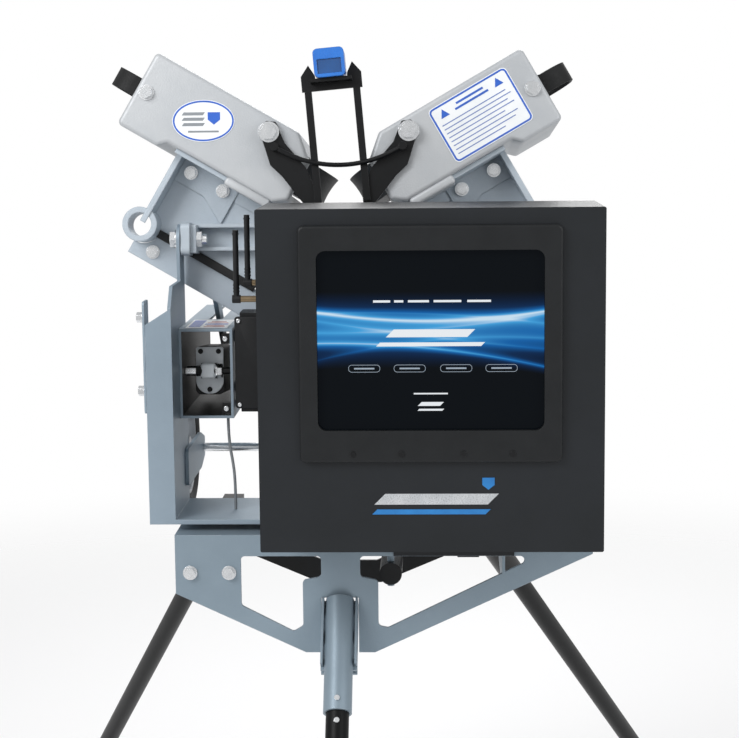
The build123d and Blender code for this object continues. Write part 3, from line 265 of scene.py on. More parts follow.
# ---- Bolts and shafts ----------------------------------------------------------------------------
# Bright zinc-plated hex bolts, washers, spring buttons and turned steel shafts.
zinc = finish("zinc", "EDEFF1", "DEE1E4", 0.25, metal=1.0, mottle=60.0, grain=1100.0, grain_height=0.03,
              edge=0.0007)
dress(zinc, "base_fasteners", "head_bolts", "pivot_bolts", "carry_axle", "tilt_rod", "pan_rod")
turned_steel = finish("turned_steel", "9EA2A6", "85898E", 0.33, metal=1.0, mottle=45.0, grain=1300.0,
                      grain_height=0.08, edge=0.0008)
dress(turned_steel, "swivel_shaft", "swivel_bearing")


# ---- Yoke ----------------------------------------------------------------------------------------
# A heavy U of folded plate that carries the head on two pivot bolts. It has the same blue-grey
# coat as the base, a shade lighter, and a thin stiffening plate bolted outside each upright.
def shape_to_piece(shape, name, material, body, smooth_below=32.0):
    """Makes a finished mesh, with its place in its vertices, into a piece that rides on a body."""
    bmesh.ops.recalc_face_normals(shape, faces=shape.faces[:])
    data = bpy.data.meshes.new(name)
    shape.to_mesh(data)
    shape.free()
    data.materials.append(material)
    for face in data.polygons:
        face.use_smooth = True
    data.set_sharp_from_angle(angle=math.radians(smooth_below))
    piece = bpy.data.objects.new(name, data)
    bpy.context.scene.collection.objects.link(piece)
    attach(piece, body)
    return piece


def thicken(shape, thickness):
    """Gives a flat outline on z = 0 a thickness upwards."""
    shape.normal_update()
    bmesh.ops.solidify(shape, geom=shape.faces[:], thickness=thickness)
    lowest = min(vertex.co.z for vertex in shape.verts)
    bmesh.ops.translate(shape, vec=(0, 0, -lowest), verts=shape.verts[:])


ink_thickness = 0.0002
face_gap = 0.0002
plate_gap = 0.0003


def soften(shape, edges, offset, segments):
    """Rounds some edges of a shape."""
    bmesh.ops.bevel(shape, geom=edges, offset=offset, segments=segments, profile=0.5, affect="EDGES",
                    material=-1)


def plate(width, height, thickness, corner=0.0, edge=0.0):
    """A flat plate centred on the origin, with its back on z = 0."""
    shape = bmesh.new()
    bmesh.ops.create_grid(shape, x_segments=1, y_segments=1, size=0.5)
    bmesh.ops.scale(shape, vec=(width, height, 1), verts=shape.verts[:])
    if corner:
        bmesh.ops.bevel(shape, geom=shape.verts[:], offset=corner, segments=6, profile=0.5,
                        affect="VERTICES", material=-1)
    thicken(shape, thickness)
    if edge:
        top = [e for e in shape.edges if all(v.co.z > thickness * 0.99 for v in e.verts)]
        soften(shape, top, edge, 2)
    return shape


def frame_of(origin, right, out):
    """A matrix whose x runs right and whose z points out of a face."""
    right, out = Vector(right).normalized(), Vector(out).normalized()
    up = out.cross(right)
    turn = Matrix((right, up, out)).transposed().to_4x4()
    return Matrix.Translation(Vector(origin)) @ turn


def put(shape, matrix):
    """Moves a shape into place and returns it."""
    bmesh.ops.transform(shape, matrix=matrix, verts=shape.verts[:])
    return shape


def join(shapes):
    """Gathers several shapes into one."""
    whole = bmesh.new()
    for shape in shapes:
        scratch = bpy.data.meshes.new("scratch")
        shape.to_mesh(scratch)
        shape.free()
        whole.from_mesh(scratch)
        bpy.data.meshes.remove(scratch)
    return whole


def disc(radius, depth, segments):
    """A short cylinder, or a prism, centred on the origin."""
    shape = bmesh.new()
    bmesh.ops.create_cone(shape, cap_ends=True, segments=segments, radius1=radius, radius2=radius,
                          depth=depth)
    return shape


def rounded_block(size, radius):
    """A block with all of its edges rounded, centred on the origin."""
    shape = bmesh.new()
    bmesh.ops.create_cube(shape, size=1.0)
    bmesh.ops.scale(shape, vec=size, verts=shape.verts[:])
    soften(shape, shape.edges[:], radius, 4)
    return shape


def cap_screw(radius, height, recess=0.5):
    """A screw head with a rounded rim and a round recess, standing on z = 0."""
    shape = disc(radius, height, 28)
    bmesh.ops.translate(shape, vec=(0, 0, height / 2), verts=shape.verts[:])
    top = max(shape.faces, key=lambda face: face.calc_center_median().z)
    soften(shape, list(top.edges), height * 0.35, 3)
    top = max(shape.faces, key=lambda face: face.calc_center_median().z)
    bmesh.ops.inset_region(shape, faces=[top], thickness=radius * (1 - recess) * 0.7, use_boundary=True)
    sunk = bmesh.ops.extrude_discrete_faces(shape, faces=[top])["faces"]
    bmesh.ops.translate(shape, vec=(0, 0, -height * 0.4), verts=sunk[0].verts[:])
    return shape


def hex_head(across, height):
    """A hex head with a washer and a chamfered crown, standing on z = 0."""
    washer = disc(across * 0.66, height * 0.22, 36)
    bmesh.ops.translate(washer, vec=(0, 0, height * 0.11), verts=washer.verts[:])
    head = disc(across * 0.55, height, 6)
    bmesh.ops.translate(head, vec=(0, 0, height * 0.72), verts=head.verts[:])
    top = max(head.faces, key=lambda face: face.calc_center_median().z)
    soften(head, list(top.edges), height * 0.16, 2)
    return join([washer, head])


yoke_paint = {"colour": "94A4B1", "second": "8B9BA8", "rough": 0.42, "metal": 0.25, "mottle": 5.0,
              "grain": 420.0, "grain_height": 0.22, "edge": 0.0016, "worn": "BCC5CC"}
yoke_coat = finish("yoke_coat", **yoke_paint)
dress(yoke_coat, "yoke_frame", "wheel_brackets")
yoke_low, yoke_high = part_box("yoke_frame")
stiffener_z = 1.168
stiffener_setback = 0.022
stiffener_plates = []
stiffener_bolts = []
for side in (-1, 1):
    outside = yoke_high.x if side > 0 else yoke_low.x
    face = frame_of((outside + side * plate_gap, yoke_low.y + stiffener_setback, stiffener_z),
                    (0, side, 0), (side, 0, 0))
    stiffener_plates.append(put(plate(0.042, 0.188, 0.004, corner=0.006, edge=0.0008), face))
    for rise in (-0.058, 0.066):
        seat = face @ Matrix.Translation((0, rise, 0.0042))
        stiffener_bolts.append(put(hex_head(0.016, 0.010), seat))
shape_to_piece(join(stiffener_plates), "yoke_stiffeners", yoke_coat, "yoke")
shape_to_piece(join(stiffener_bolts), "yoke_stiffener_bolts", zinc, "yoke")


# ---- Channel of the tilt drive -------------------------------------------------------------------
# A square steel channel bolted inside the left upright, open towards the operator. It carries a
#  printed label on its roof, and small screws in two turned-in tabs. Its inner faces carry a painted shade.
channel_low, channel_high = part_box("actuator_channel")
channel_middle = (channel_low.x + channel_high.x) / 2
shade_half_width, shade_half_height = 0.0414, 0.0724
channel_coat_and_shade = finish("channel_coat_and_shade", **yoke_paint)
channel_tree = channel_coat_and_shade.node_tree
# Inside the mouth's outline the coat is mixed to near-black: painted shade for the hollow of the channel.
channel_place = node(channel_tree, "Mapping", {"vector_type": "TEXTURE"},
                     Vector=node(channel_tree, "TexCoord").outputs["Object"],
                     Location=(channel_middle, channel_low.y, (channel_low.z + channel_high.z) / 2),
                     Scale=(shade_half_width, 1.0, shade_half_height))
channel_split = node(channel_tree, "SeparateXYZ", Vector=channel_place.outputs["Vector"])
beyond = []
for way in ("X", "Z"):
    inside = node(channel_tree, "Math", {"operation": "ABSOLUTE"})
    channel_tree.links.new(channel_split.outputs[way], inside.inputs[0])
    beyond.append(inside.outputs["Value"])
farther = node(channel_tree, "Math", {"operation": "MAXIMUM"})
for socket, value in zip(farther.inputs, beyond):
    channel_tree.links.new(value, socket)
painted_shade_mask = node(channel_tree, "Math", {"operation": "LESS_THAN"})
channel_tree.links.new(farther.outputs["Value"], painted_shade_mask.inputs[0])
painted_shade_mask.inputs[1].default_value = 1.0
channel_shader = channel_tree.nodes["Principled BSDF"]
outer_colour = channel_shader.inputs["Base Color"].links[0].from_socket
inner_shade = node(channel_tree, "MixRGB", Fac=painted_shade_mask.outputs["Value"], Color1=outer_colour,
              Color2=tint("08090A"))
channel_tree.links.new(inner_shade.outputs["Color"], channel_shader.inputs["Base Color"])
dress(channel_coat_and_shade, "actuator_channel")
tab_screws = []
for z in (channel_low.z + 0.017, channel_high.z - 0.017):
    tab = frame_of((channel_high.x - 0.0125, channel_low.y - 0.0006, z), (1, 0, 0), (0, -1, 0))
    tab_screws.append(put(cap_screw(0.0045, 0.0028), tab))
wall_screws = ((0.038, channel_low.z + 0.020), (0.038, channel_high.z - 0.020),
               (0.198, channel_high.z - 0.03))
for y, z in wall_screws:
    wall = frame_of((channel_high.x + plate_gap, channel_low.y + y, z), (0, 1, 0), (1, 0, 0))
    tab_screws.append(put(cap_screw(0.006, 0.004), wall))
shape_to_piece(join(tab_screws), "channel_screws", zinc, "yoke")


def printed(name, colour, second, rough):
    """The smooth face of a label, or the ink on it."""
    return finish(name, colour, second, rough, mottle=30.0, grain=1200.0, grain_height=0.03, edge=0.0003)


label_white = printed("label_white", "F1F3F5", "E9ECEF", 0.32)
label_blue = printed("label_blue", "2F64C8", "2B5DBC", 0.32)
label_red = printed("label_red", "B8403C", "AE3A37", 0.34)
label_thickness = 0.0004
roof = frame_of((channel_middle, channel_low.y + 0.072, channel_high.z + face_gap), (1, 0, 0), (0, 0, 1))
roof_label = put(plate(0.072, 0.125, label_thickness, corner=0.003), roof)
shape_to_piece(roof_label, "channel_label", label_white, "yoke")
on_roof = roof @ Matrix.Translation((0, 0, label_thickness))
red_bars = [put(plate(width, 0.0070, ink_thickness), on_roof @ Matrix.Translation((0.012, y, 0)))
            for y, width in ((-0.045, 0.036), (-0.026, 0.030), (0.012, 0.036), (0.031, 0.026))]
shape_to_piece(join(red_bars), "channel_label_bars", label_red, "yoke")
blue_block = [put(plate(0.020, 0.100, ink_thickness), on_roof @ Matrix.Translation((-0.022, 0, 0))),
              put(plate(0.040, 0.012, ink_thickness), on_roof @ Matrix.Translation((0.012, -0.006, 0)))]
shape_to_piece(join(blue_block), "channel_label_block", label_blue, "yoke")


# ---- Tilt drive ----------------------------------------------------------------------------------
# A black screw actuator. Its pale end plate, flat on top and round below, faces the operator with
#  three dark screws, and its clevis hangs on a cross pin with a nut at one side and a sleeve at the other.
#  The end plate and clevis are pale alloy with painted light on top: their colour is pushed near white.
motor_coat = finish("motor_coat", "121315", "18191B", 0.38, metal=0.2, mottle=20.0, grain=700.0,
                    grain_height=0.2, edge=0.0010, worn="3E4043", specular=0.3)
dress(motor_coat, "tilt_actuator")
# Near-white colour: pale alloy plus painted light, for the bright light these parts catch deep in the
# channel.
pale_alloy_painted_light = finish("pale_alloy_painted_light", "EAF0F5", "DFE6EC", 0.40, metal=0.05, mottle=18.0, grain=800.0,
                     grain_height=0.14, edge=0.0012)
pin = Vector(joints["tilt_drive_swing"]["pos_m"])
drive_way = Vector(joints["tilt_ram_slide"]["axis"])
end_face = frame_of(pin + drive_way * 0.0157, (1, 0, 0), -drive_way)
end_half_width, end_top, end_bottom = 0.024, 0.041, -0.041
end_thickness = 0.004
end_chamfer = 0.003
end_arc_steps = 24
end_plate = bmesh.new()
end_corners = [(-end_half_width + end_chamfer, end_top), (-end_half_width, end_top - end_chamfer)]
for step in range(end_arc_steps + 1):
    turn = math.pi + math.pi * step / end_arc_steps
    rise = end_half_width * (1 + math.sin(turn))
    end_corners.append((end_half_width * math.cos(turn), end_bottom + rise))
end_corners += [(end_half_width, end_top - end_chamfer), (end_half_width - end_chamfer, end_top)]
end_plate.faces.new([end_plate.verts.new((x, y, 0)) for x, y in end_corners])
thicken(end_plate, end_thickness)
rim = [e for e in end_plate.edges if all(v.co.z > end_thickness * 0.975 for v in e.verts)]
soften(end_plate, rim, 0.001, 2)
shape_to_piece(put(end_plate, end_face), "drive_end_plate", pale_alloy_painted_light, "tilt_drive")
end_screws = []
for x, y in ((0, -0.033), (-0.0155, 0.033), (0.0155, 0.033)):
    on_end = end_face @ Matrix.Translation((x, y, end_thickness))
    end_screws.append(put(cap_screw(0.0044, 0.003), on_end))
shape_to_piece(join(end_screws), "drive_end_screws", motor_coat, "tilt_drive")
eye_half = 0.013
clevis = put(rounded_block((0.0270, 0.0270, 0.0260), 0.006),
             frame_of(pin - drive_way * 0.0008, (1, 0, 0), -drive_way))
shape_to_piece(clevis, "drive_clevis", pale_alloy_painted_light, "tilt_drive")
left_of_eye = frame_of(pin + Vector((-eye_half - 0.0082, 0, 0)), (0, 1, 0), (-1, 0, 0))
right_of_eye = frame_of(pin + Vector((eye_half + face_gap, 0, 0)), (0, 1, 0), (1, 0, 0))
sleeve = put(disc(0.0088, 0.018, 40), left_of_eye @ Matrix.Translation((0, 0, 0.0095)))
pin_parts = [sleeve, put(hex_head(0.022, 0.009), right_of_eye)]
shape_to_piece(join(pin_parts), "drive_pin_nut", zinc, "tilt_drive")


# ---- Electronics box and pan drive ---------------------------------------------------------------
# A dark moulded box of motor controls beside the channel, and the small motor under the deck
# that swings the yoke through a crank.
dark_plastic = finish("dark_plastic", "151618", "1B1C1E", 0.52, mottle=25.0, grain=900.0, grain_height=0.25,
                      edge=0.0012, specular=0.3)
dress(dark_plastic, "electronics_box")
dress(motor_coat, "pan_actuator")
electronics_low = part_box("electronics_box")[0]
lid_offset, lid_height = 0.078 / 2, 1.148
lid_thickness = 0.004
lid_face = frame_of((electronics_low.x + lid_offset, electronics_low.y - plate_gap, lid_height),
                    (1, 0, 0), (0, -1, 0))
lid = plate(0.072, 0.158, lid_thickness, corner=0.005, edge=0.0014)
shape_to_piece(put(lid, lid_face), "electronics_lid", dark_plastic, "yoke")
lid_screws = []
for x in (-0.029, 0.029):
    for y in (-0.072, 0.072):
        on_lid = lid_face @ Matrix.Translation((x, y, lid_thickness))
        lid_screws.append(put(cap_screw(0.0038, 0.0025), on_lid))
shape_to_piece(join(lid_screws), "electronics_screws", zinc, "yoke")


# ---- Carrying wheels -----------------------------------------------------------------------------
# Two puncture-proof rubber tyres with three tread grooves on spoked cast rims. The machine is
# tipped back onto them and wheeled away.
wheel_rubber = finish("wheel_rubber", "17181A", "222325", 0.66, mottle=30.0, grain=700.0, grain_height=0.32,
                      specular=0.35)
rim_alloy = finish("rim_alloy", "B9BDC1", "A9ADB2", 0.38, metal=0.8, mottle=16.0, grain=600.0,
                   grain_height=0.16, edge=0.0012)
dress(rim_alloy, "left_carry_rim", "right_carry_rim")
tyre_half = 0.029
tyre_outer = 0.120
bead_radius = 0.0862
groove = 0.003
half_section = [
    (0.0, tyre_outer - groove), (0.002, tyre_outer - groove), (0.002, tyre_outer), (0.010, tyre_outer),
    (0.010, tyre_outer - groove), (0.014, tyre_outer - groove), (0.014, tyre_outer - 0.0004),
    (0.020, tyre_outer - 0.0025), (0.025, tyre_outer - 0.007), (0.028, tyre_outer - 0.014),
    (tyre_half, tyre_outer - 0.022), (0.0275, 0.092), (0.024, bead_radius), (0.0, bead_radius),
]
for side_name, sign in (("left", -1), ("right", 1)):
    centre = Vector(joints[f"{side_name}_carry_spin"]["pos_m"])
    shape = bmesh.new()
    section = [shape.verts.new((centre.x + a, centre.y, centre.z + r)) for a, r in half_section]
    mirrored = [shape.verts.new((centre.x - a, centre.y, centre.z + r))
                for a, r in reversed(half_section[1:-1])]
    ring = section + mirrored
    rim_edges = [shape.edges.new((ring[i], ring[(i + 1) % len(ring)])) for i in range(len(ring))]
    bmesh.ops.spin(shape, geom=ring + rim_edges, cent=centre, axis=(1, 0, 0), dvec=(0, 0, 0),
                   angle=2 * math.pi, steps=96, use_merge=True, use_duplicate=False)
    bmesh.ops.remove_doubles(shape, verts=shape.verts[:], dist=0.00001)
    tread = shape_to_piece(shape, f"{side_name}_carry_tread", wheel_rubber, f"carry_wheel_{side_name}")
    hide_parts(f"{side_name}_carry_tyre")
    valve_seat = frame_of(centre + Vector((sign * 0.023, 0, 0)), (0, 1, 0), (sign, 0, 0))
    caps = []
    for count in range(5):
        turn = Matrix.Rotation(math.tau * count / 5, 4, "Z")
        caps.append(put(cap_screw(0.0035, 0.003), valve_seat @ turn @ Matrix.Translation((0.0145, 0, 0))))
    shape_to_piece(join(caps), f"{side_name}_rim_screws", zinc, f"carry_wheel_{side_name}")


# ---- Head castings -------------------------------------------------------------------------------
# Sand-cast aluminium arms under the wheel covers, silver-grey hammered paint over a coarse skin.
# A near-black strip fills the dark slot between the upper arms and the lower bracket: painted shade.
cast_paint = finish("cast_paint", "B7C1CA", "ACB7C1", 0.46, metal=0.15, mottle=11.0, grain=330.0,
                    grain_height=0.42, edge=0.0030, worn="BAC3CA")
dress(cast_paint, "left_casting", "right_casting", "lower_casting")
dress(yoke_coat, "tilt_lever")
trunnion = Vector(joints["tilt"]["pos_m"])
right_side_way = Vector(joints["right_wheel_spin"]["axis"])
left_side_way = Vector(joints["left_wheel_spin"]["axis"])
head_up = (right_side_way + left_side_way).normalized()
head_back = Vector((1, 0, 0)).cross(head_up)
throat = trunnion + head_up * 0.065
right_out = right_side_way.cross(head_back)
left_right = left_side_way.cross(head_back)
# The strip is painted shade: a near-black plate recessed into the slot, standing for the shade in that gap.
slot_shade = finish("slot_shade", "111213", "1A1B1C", 0.6, mottle=30.0, grain=900.0, grain_height=0.2)
shade_strips = []
for right, side_way, sign in ((right_out, right_side_way, 1), (left_right, left_side_way, -1)):
    strip_centre = throat + right * sign * 0.160 - side_way * 0.207 - head_back * 0.042
    strip_face = frame_of(strip_centre, right, head_back)
    shade_strips.append(put(plate(0.204, 0.0145, 0.006, edge=0.002), strip_face))
shape_to_piece(join(shade_strips), "slot_shade_strips", slot_shade, "head")


# ---- Wheel covers --------------------------------------------------------------------------------
# Three cast shells with rounded edges and a raised pad for the feed bracket. The right one wears
# a rectangular care label, the left one an oval badge, both with a blue border and plain bars.
cover_paint = finish("cover_paint", "BABDC0", "B0B4B8", 0.44, metal=0.2, mottle=9.0, grain=380.0,
                     grain_height=0.36, edge=0.0024, worn="D0D3D5")
dress(cover_paint, "left_wheel_cover", "right_wheel_cover", "lower_wheel_cover")
cover_front = 0.054
skirts = []
for right, side_way, sign in ((right_out, right_side_way, 1), (left_right, left_side_way, -1)):
    skirt_centre = throat + right * sign * 0.142 - side_way * 0.0685 + head_back * (cover_front - 0.0375)
    skirts.append(put(rounded_block((0.084, 0.015, 0.074), 0.0045),
                      frame_of(skirt_centre, right, head_back)))
shape_to_piece(join(skirts), "cover_skirts", cover_paint, "head")


def border(width, height, bar, thickness, corner):
    """A flat rectangular ring with rounded corners."""
    shape = bmesh.new()
    bmesh.ops.create_grid(shape, x_segments=1, y_segments=1, size=0.5)
    bmesh.ops.scale(shape, vec=(width, height, 1), verts=shape.verts[:])
    bmesh.ops.bevel(shape, geom=shape.verts[:], offset=corner, segments=6, profile=0.5, affect="VERTICES",
                    material=-1)
    inner = shape.faces[:]
    bmesh.ops.inset_region(shape, faces=inner, thickness=bar, use_boundary=True, use_even_offset=True)
    bmesh.ops.delete(shape, geom=inner, context="FACES")
    thicken(shape, thickness)
    return shape


def oval(width, height, thickness, bar=0.0):
    """A flat oval, or a ring of the given bar width."""
    shape = bmesh.new()
    bmesh.ops.create_circle(shape, cap_ends=True, segments=72, radius=0.5)
    bmesh.ops.scale(shape, vec=(width, height, 1), verts=shape.verts[:])
    if bar:
        inner = shape.faces[:]
        bmesh.ops.inset_region(shape, faces=inner, thickness=bar, use_boundary=True, use_even_offset=True)
        bmesh.ops.delete(shape, geom=inner, context="FACES")
    thicken(shape, thickness)
    return shape


def slanted_bar(width, height, thickness, lean_share=0.35):
    """A flat bar whose ends lean like a speed stripe."""
    shape = bmesh.new()
    shift = height * lean_share
    corners = [(-width / 2 - shift, -height / 2), (width / 2 - shift, -height / 2),
               (width / 2 + shift, height / 2), (-width / 2 + shift, height / 2)]
    shape.faces.new([shape.verts.new((x, y, 0)) for x, y in corners])
    thicken(shape, thickness)
    return shape


def home_plate(size, thickness):
    """The five-sided plate of a ball field, point down."""
    shape = bmesh.new()
    half = size / 2
    corners = [(-half, half), (-half, -0.1 * size), (0, -half), (half, -0.1 * size), (half, half)]
    shape.faces.new([shape.verts.new((x, y, 0)) for x, y in corners])
    thicken(shape, thickness)
    return shape


label_lift = 0.0003
care_centre = throat + right_out * 0.276 + head_back * (cover_front + label_lift)
care_face = frame_of(care_centre, right_out, head_back)
care_width, care_height = 0.151, 0.102
care_backing = put(plate(care_width, care_height, label_thickness, corner=0.009), care_face)
shape_to_piece(care_backing, "care_label", label_white, "head")
on_label = care_face @ Matrix.Translation((0, 0, 0.0005))
blue_marks = [put(border(care_width - 0.003, care_height - 0.003, 0.003, ink_thickness, 0.008), on_label)]
for x in (-0.052, 0.052):
    triangle = bmesh.new()
    bmesh.ops.create_circle(triangle, cap_ends=True, segments=3, radius=0.0095)
    thicken(triangle, ink_thickness)
    blue_marks.append(put(triangle, on_label @ Matrix.Translation((x, 0.032, 0))))
for y, width in ((0.038, 0.052), (0.030, 0.064)):
    blue_marks.append(put(plate(width, 0.0036, ink_thickness), on_label @ Matrix.Translation((0, y, 0))))
shape_to_piece(join(blue_marks), "care_label_border", label_blue, "head")
label_ink = printed("label_ink", "5A78B8", "5472B0", 0.4)
line_widths = (0.122, 0.128, 0.118, 0.126, 0.104, 0.124, 0.116, 0.092)
lines = []
for row, width in enumerate(line_widths):
    start = Matrix.Translation((-(0.130 - width) / 2, 0.016 - row * 0.0076, 0))
    lines.append(put(plate(width, 0.0016, ink_thickness), on_label @ start))
shape_to_piece(join(lines), "care_label_lines", label_ink, "head")

badge_centre = throat - left_right * 0.265 + head_back * (cover_front + label_lift)
badge_face = frame_of(badge_centre, (1, 0, 0), head_back)
shape_to_piece(put(oval(0.106, 0.071, 0.0005), badge_face), "oval_badge", label_white, "head")
on_badge = badge_face @ Matrix.Translation((0, 0, 0.0006))
badge_marks = [put(oval(0.1035, 0.0685, ink_thickness, 0.0028), on_badge),
               put(home_plate(0.021, ink_thickness), on_badge @ Matrix.Translation((0.018, 0.004, 0)))]
shape_to_piece(join(badge_marks), "oval_badge_border", label_blue, "head")
badge_grey = printed("badge_grey", "8D9297", "83888D", 0.35)
badge_bars = [put(slanted_bar(0.036, 0.0052, ink_thickness), on_badge @ Matrix.Translation((-0.017, y, 0)))
              for y in (0.012, 0.003, -0.006)]
badge_bars.append(put(plate(0.052, 0.0030, ink_thickness), on_badge @ Matrix.Translation((0, -0.018, 0))))
shape_to_piece(join(badge_bars), "oval_badge_bars", badge_grey, "head")


# ---- Throwing wheels and motors ------------------------------------------------------------------
# Hollow-tread urethane tyres on turned aluminium rims, each driven straight by a ribbed motor.
urethane = finish("urethane", "1E2124", "2A2D30", 0.5, mottle=20.0, grain=500.0, grain_height=0.3)
turned_alloy = finish("turned_alloy", "C4C7CA", "B5B9BD", 0.3, metal=0.95, mottle=20.0, grain=900.0,
                      grain_height=0.08)
for arm in ("left", "right", "lower"):
    dress(urethane, f"{arm}_throwing_tyre")
    dress(turned_alloy, f"{arm}_throwing_hub")
    dress(motor_coat, f"{arm}_motor")


# ---- Carrying handles ----------------------------------------------------------------------------
# Loops of moulded black rubber strap, screwed to the outer end of each cover.
strap_rubber = finish("strap_rubber", "111213", "1A1B1C", 0.6, mottle=28.0, grain=420.0,
                      grain_height=0.4, edge=0.002, specular=0.3)
dress(strap_rubber, "left_handle", "right_handle")


# ---- Feed bracket, bail and lamp frame -----------------------------------------------------------
# Laser-cut black brackets that meet at the throat, a round bail between them and the upright frame.
dress(black_coat, "feed_brackets", "feed_bail", "feed_frame")


# ---- Signal lamp ---------------------------------------------------------------------------------
# A moulded blue polycarbonate lamp on top of the frame, lit when the wheels are up to speed.
lamp_blue = finish("lamp_blue", "2676D2", "1E68C2", 0.28, mottle=18.0, grain=500.0, grain_height=0.12,
                   edge=0.003, coat=0.4)
dress(lamp_blue, "lamp_housing")
lamp_window = finish("lamp_window", "1B5290", "174880", 0.16, mottle=18.0, grain=300.0, grain_height=0.2,
                     edge=0.001, coat=0.6)
dress(lamp_window, "lamp_lens")


# ---- Control box ---------------------------------------------------------------------------------
# A welded steel cabinet in charcoal satin powder coat. A plain striped badge sits below the screen.
box_coat = finish("box_coat", "1A1D20", "1F2226", 0.38, mottle=4.0, grain=600.0, grain_height=0.14,
                  edge=0.0026, coat=0.05, specular=0.28)
dress(box_coat, "control_box", "control_box_back")
box_low, box_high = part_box("control_box")
box_middle = (box_low.x + box_high.x) / 2
badge_silver = finish("badge_silver", "D5D8DB", "C2C6CA", 0.3, metal=0.6, mottle=30.0, grain=900.0,
                      grain_height=0.05, edge=0.0004)
badge_blue = finish("badge_blue", "2C7FC4", "2670B2", 0.34, metal=0.2, mottle=30.0, grain=900.0,
                    grain_height=0.05, edge=0.0004)
stripe_face = frame_of((box_middle + 0.010, box_low.y - face_gap, 0.967), (1, 0, 0), (0, -1, 0))
badge_thickness = 0.0006
stripe_lean = 0.5
silver_stripe = put(slanted_bar(0.175, 0.017, badge_thickness, stripe_lean),
                    stripe_face @ Matrix.Translation((-0.002, 0.010, 0)))
shape_to_piece(join([silver_stripe]), "cabinet_badge", badge_silver, "base")
blue_stripes = [
    put(slanted_bar(0.175, 0.008, badge_thickness, stripe_lean),
        stripe_face @ Matrix.Translation((-0.010, -0.010, 0))),
    put(home_plate(0.019, badge_thickness), stripe_face @ Matrix.Translation((0.078, 0.034, 0))),
]
shape_to_piece(join(blue_stripes), "cabinet_badge_stripe", badge_blue, "base")


# ---- Screen --------------------------------------------------------------------------------------
# A moulded bezel round a touch screen behind black glass. The picture is a plain welcome page:
# blue light waves on black, bars for the title and a row of four outlined buttons.
bezel_plastic = finish("bezel_plastic", "151719", "1A1C1E", 0.44, mottle=18.0, grain=700.0, grain_height=0.2,
                       edge=0.0016, specular=0.28)
dress(bezel_plastic, "screen_bezel", "display_module")
dress(motor_coat, "bezel_screws")
glass_low, glass_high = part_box("screen_glass")
glass_centre = (glass_low + glass_high) / 2
page = bpy.data.materials.new("screen_page")
page.use_nodes = True
page_tree = page.node_tree
page_shader = page_tree.nodes["Principled BSDF"]
page_place = node(page_tree, "TexCoord").outputs["Object"]
page_map = node(page_tree, "Mapping", {"vector_type": "TEXTURE"}, Vector=page_place,
                Location=tuple(glass_centre), Scale=(0.17, 0.17, 0.135))
page_split = node(page_tree, "SeparateXYZ", Vector=page_map.outputs["Vector"])


def figure(operation, first, second=0.0, clamp=False):
    """One step of the page's pattern."""
    made = page_tree.nodes.new("ShaderNodeMath")
    made.operation = operation
    made.use_clamp = clamp
    for socket, value in zip(made.inputs, (first, second)):
        if isinstance(value, bpy.types.NodeSocket):
            page_tree.links.new(value, socket)
        else:
            socket.default_value = value
    return made.outputs["Value"]


across_page = page_split.outputs["X"]
up_page = page_split.outputs["Z"]
glow = 0.0
curve_rows = (
    (0.22, 0.00, 0.10, 30.0, 0.85), (-0.09, -0.135, -0.075, 32.0, 0.70), (0.13, 0.10, 0.06, 22.0, 0.34),
    (0.30, -0.06, -0.05, 26.0, 0.30), (0.04, -0.16, 0.02, 24.0, 0.32), (0.00, 0.12, -0.10, 30.0, 0.26),
)
squared = figure("MULTIPLY", across_page, across_page)
for level, slope, sag, thin, bright in curve_rows:
    line = figure("ADD", figure("MULTIPLY", across_page, slope), figure("MULTIPLY", squared, sag))
    away = figure("ABSOLUTE", figure("SUBTRACT", figure("SUBTRACT", up_page, line), level))
    ray = figure("MULTIPLY", figure("EXPONENT", figure("MULTIPLY", away, -thin)), bright)
    glow = figure("ADD", ray, glow)
from_middle = figure("SUBTRACT", up_page, 0.12)
band = figure("EXPONENT", figure("MULTIPLY", figure("MULTIPLY", from_middle, from_middle), -13.0))
lit = figure("ADD", figure("MULTIPLY", glow, 0.72), figure("MULTIPLY", band, 0.46), clamp=True)
page_colours = node(page_tree, "ValToRGB", Fac=lit)
ramp = page_colours.color_ramp
ramp.elements[0].position = 0.04
ramp.elements[0].color = tint("05080D")
ramp.elements[1].position = 1.0
ramp.elements[1].color = tint("D5EEFF")
for position, code in ((0.25, "0A2C55"), (0.48, "1466B0"), (0.72, "48AAE8")):
    ramp.elements.new(position).color = tint(code)
page_tree.links.new(page_colours.outputs["Color"], page_shader.inputs["Emission Color"])
page_shader.inputs["Emission Strength"].default_value = 0.85
page_shader.inputs["Base Color"].default_value = tint("06080A")
page_shader.inputs["Roughness"].default_value = 0.10
page_shader.inputs["Specular IOR Level"].default_value = 0.06
dress(page, "screen_glass")


def glowing(name, code, strength):
    """Something drawn in light on the screen."""
    material = bpy.data.materials.new(name)
    material.use_nodes = True
    tree = material.node_tree
    shader = tree.nodes["Principled BSDF"]
    place = node(tree, "TexCoord").outputs["Object"]
    cells = node(tree, "TexNoise", Vector=place, Scale=900.0, Detail=1.0)
    shade = node(tree, "MixRGB", Fac=cells.outputs["Fac"], Color1=tint(code), Color2=tint("FFFFFF"))
    tree.links.new(shade.outputs["Color"], shader.inputs["Emission Color"])
    shader.inputs["Emission Strength"].default_value = strength
    shader.inputs["Base Color"].default_value = tint("101418")
    shader.inputs["Roughness"].default_value = 0.2
    return material


page_white = glowing("page_white", "E8F2FA", 0.85)
page_pale = glowing("page_pale", "7FB4DC", 0.5)
page_face = frame_of((glass_centre.x, glass_low.y - face_gap, glass_centre.z), (1, 0, 0), (0, -1, 0))


def on_page(shape, x, y):
    """Lays a shape on the page, x right and y up from its middle, in metres."""
    return put(shape, page_face @ Matrix.Translation((x, y, 0)))


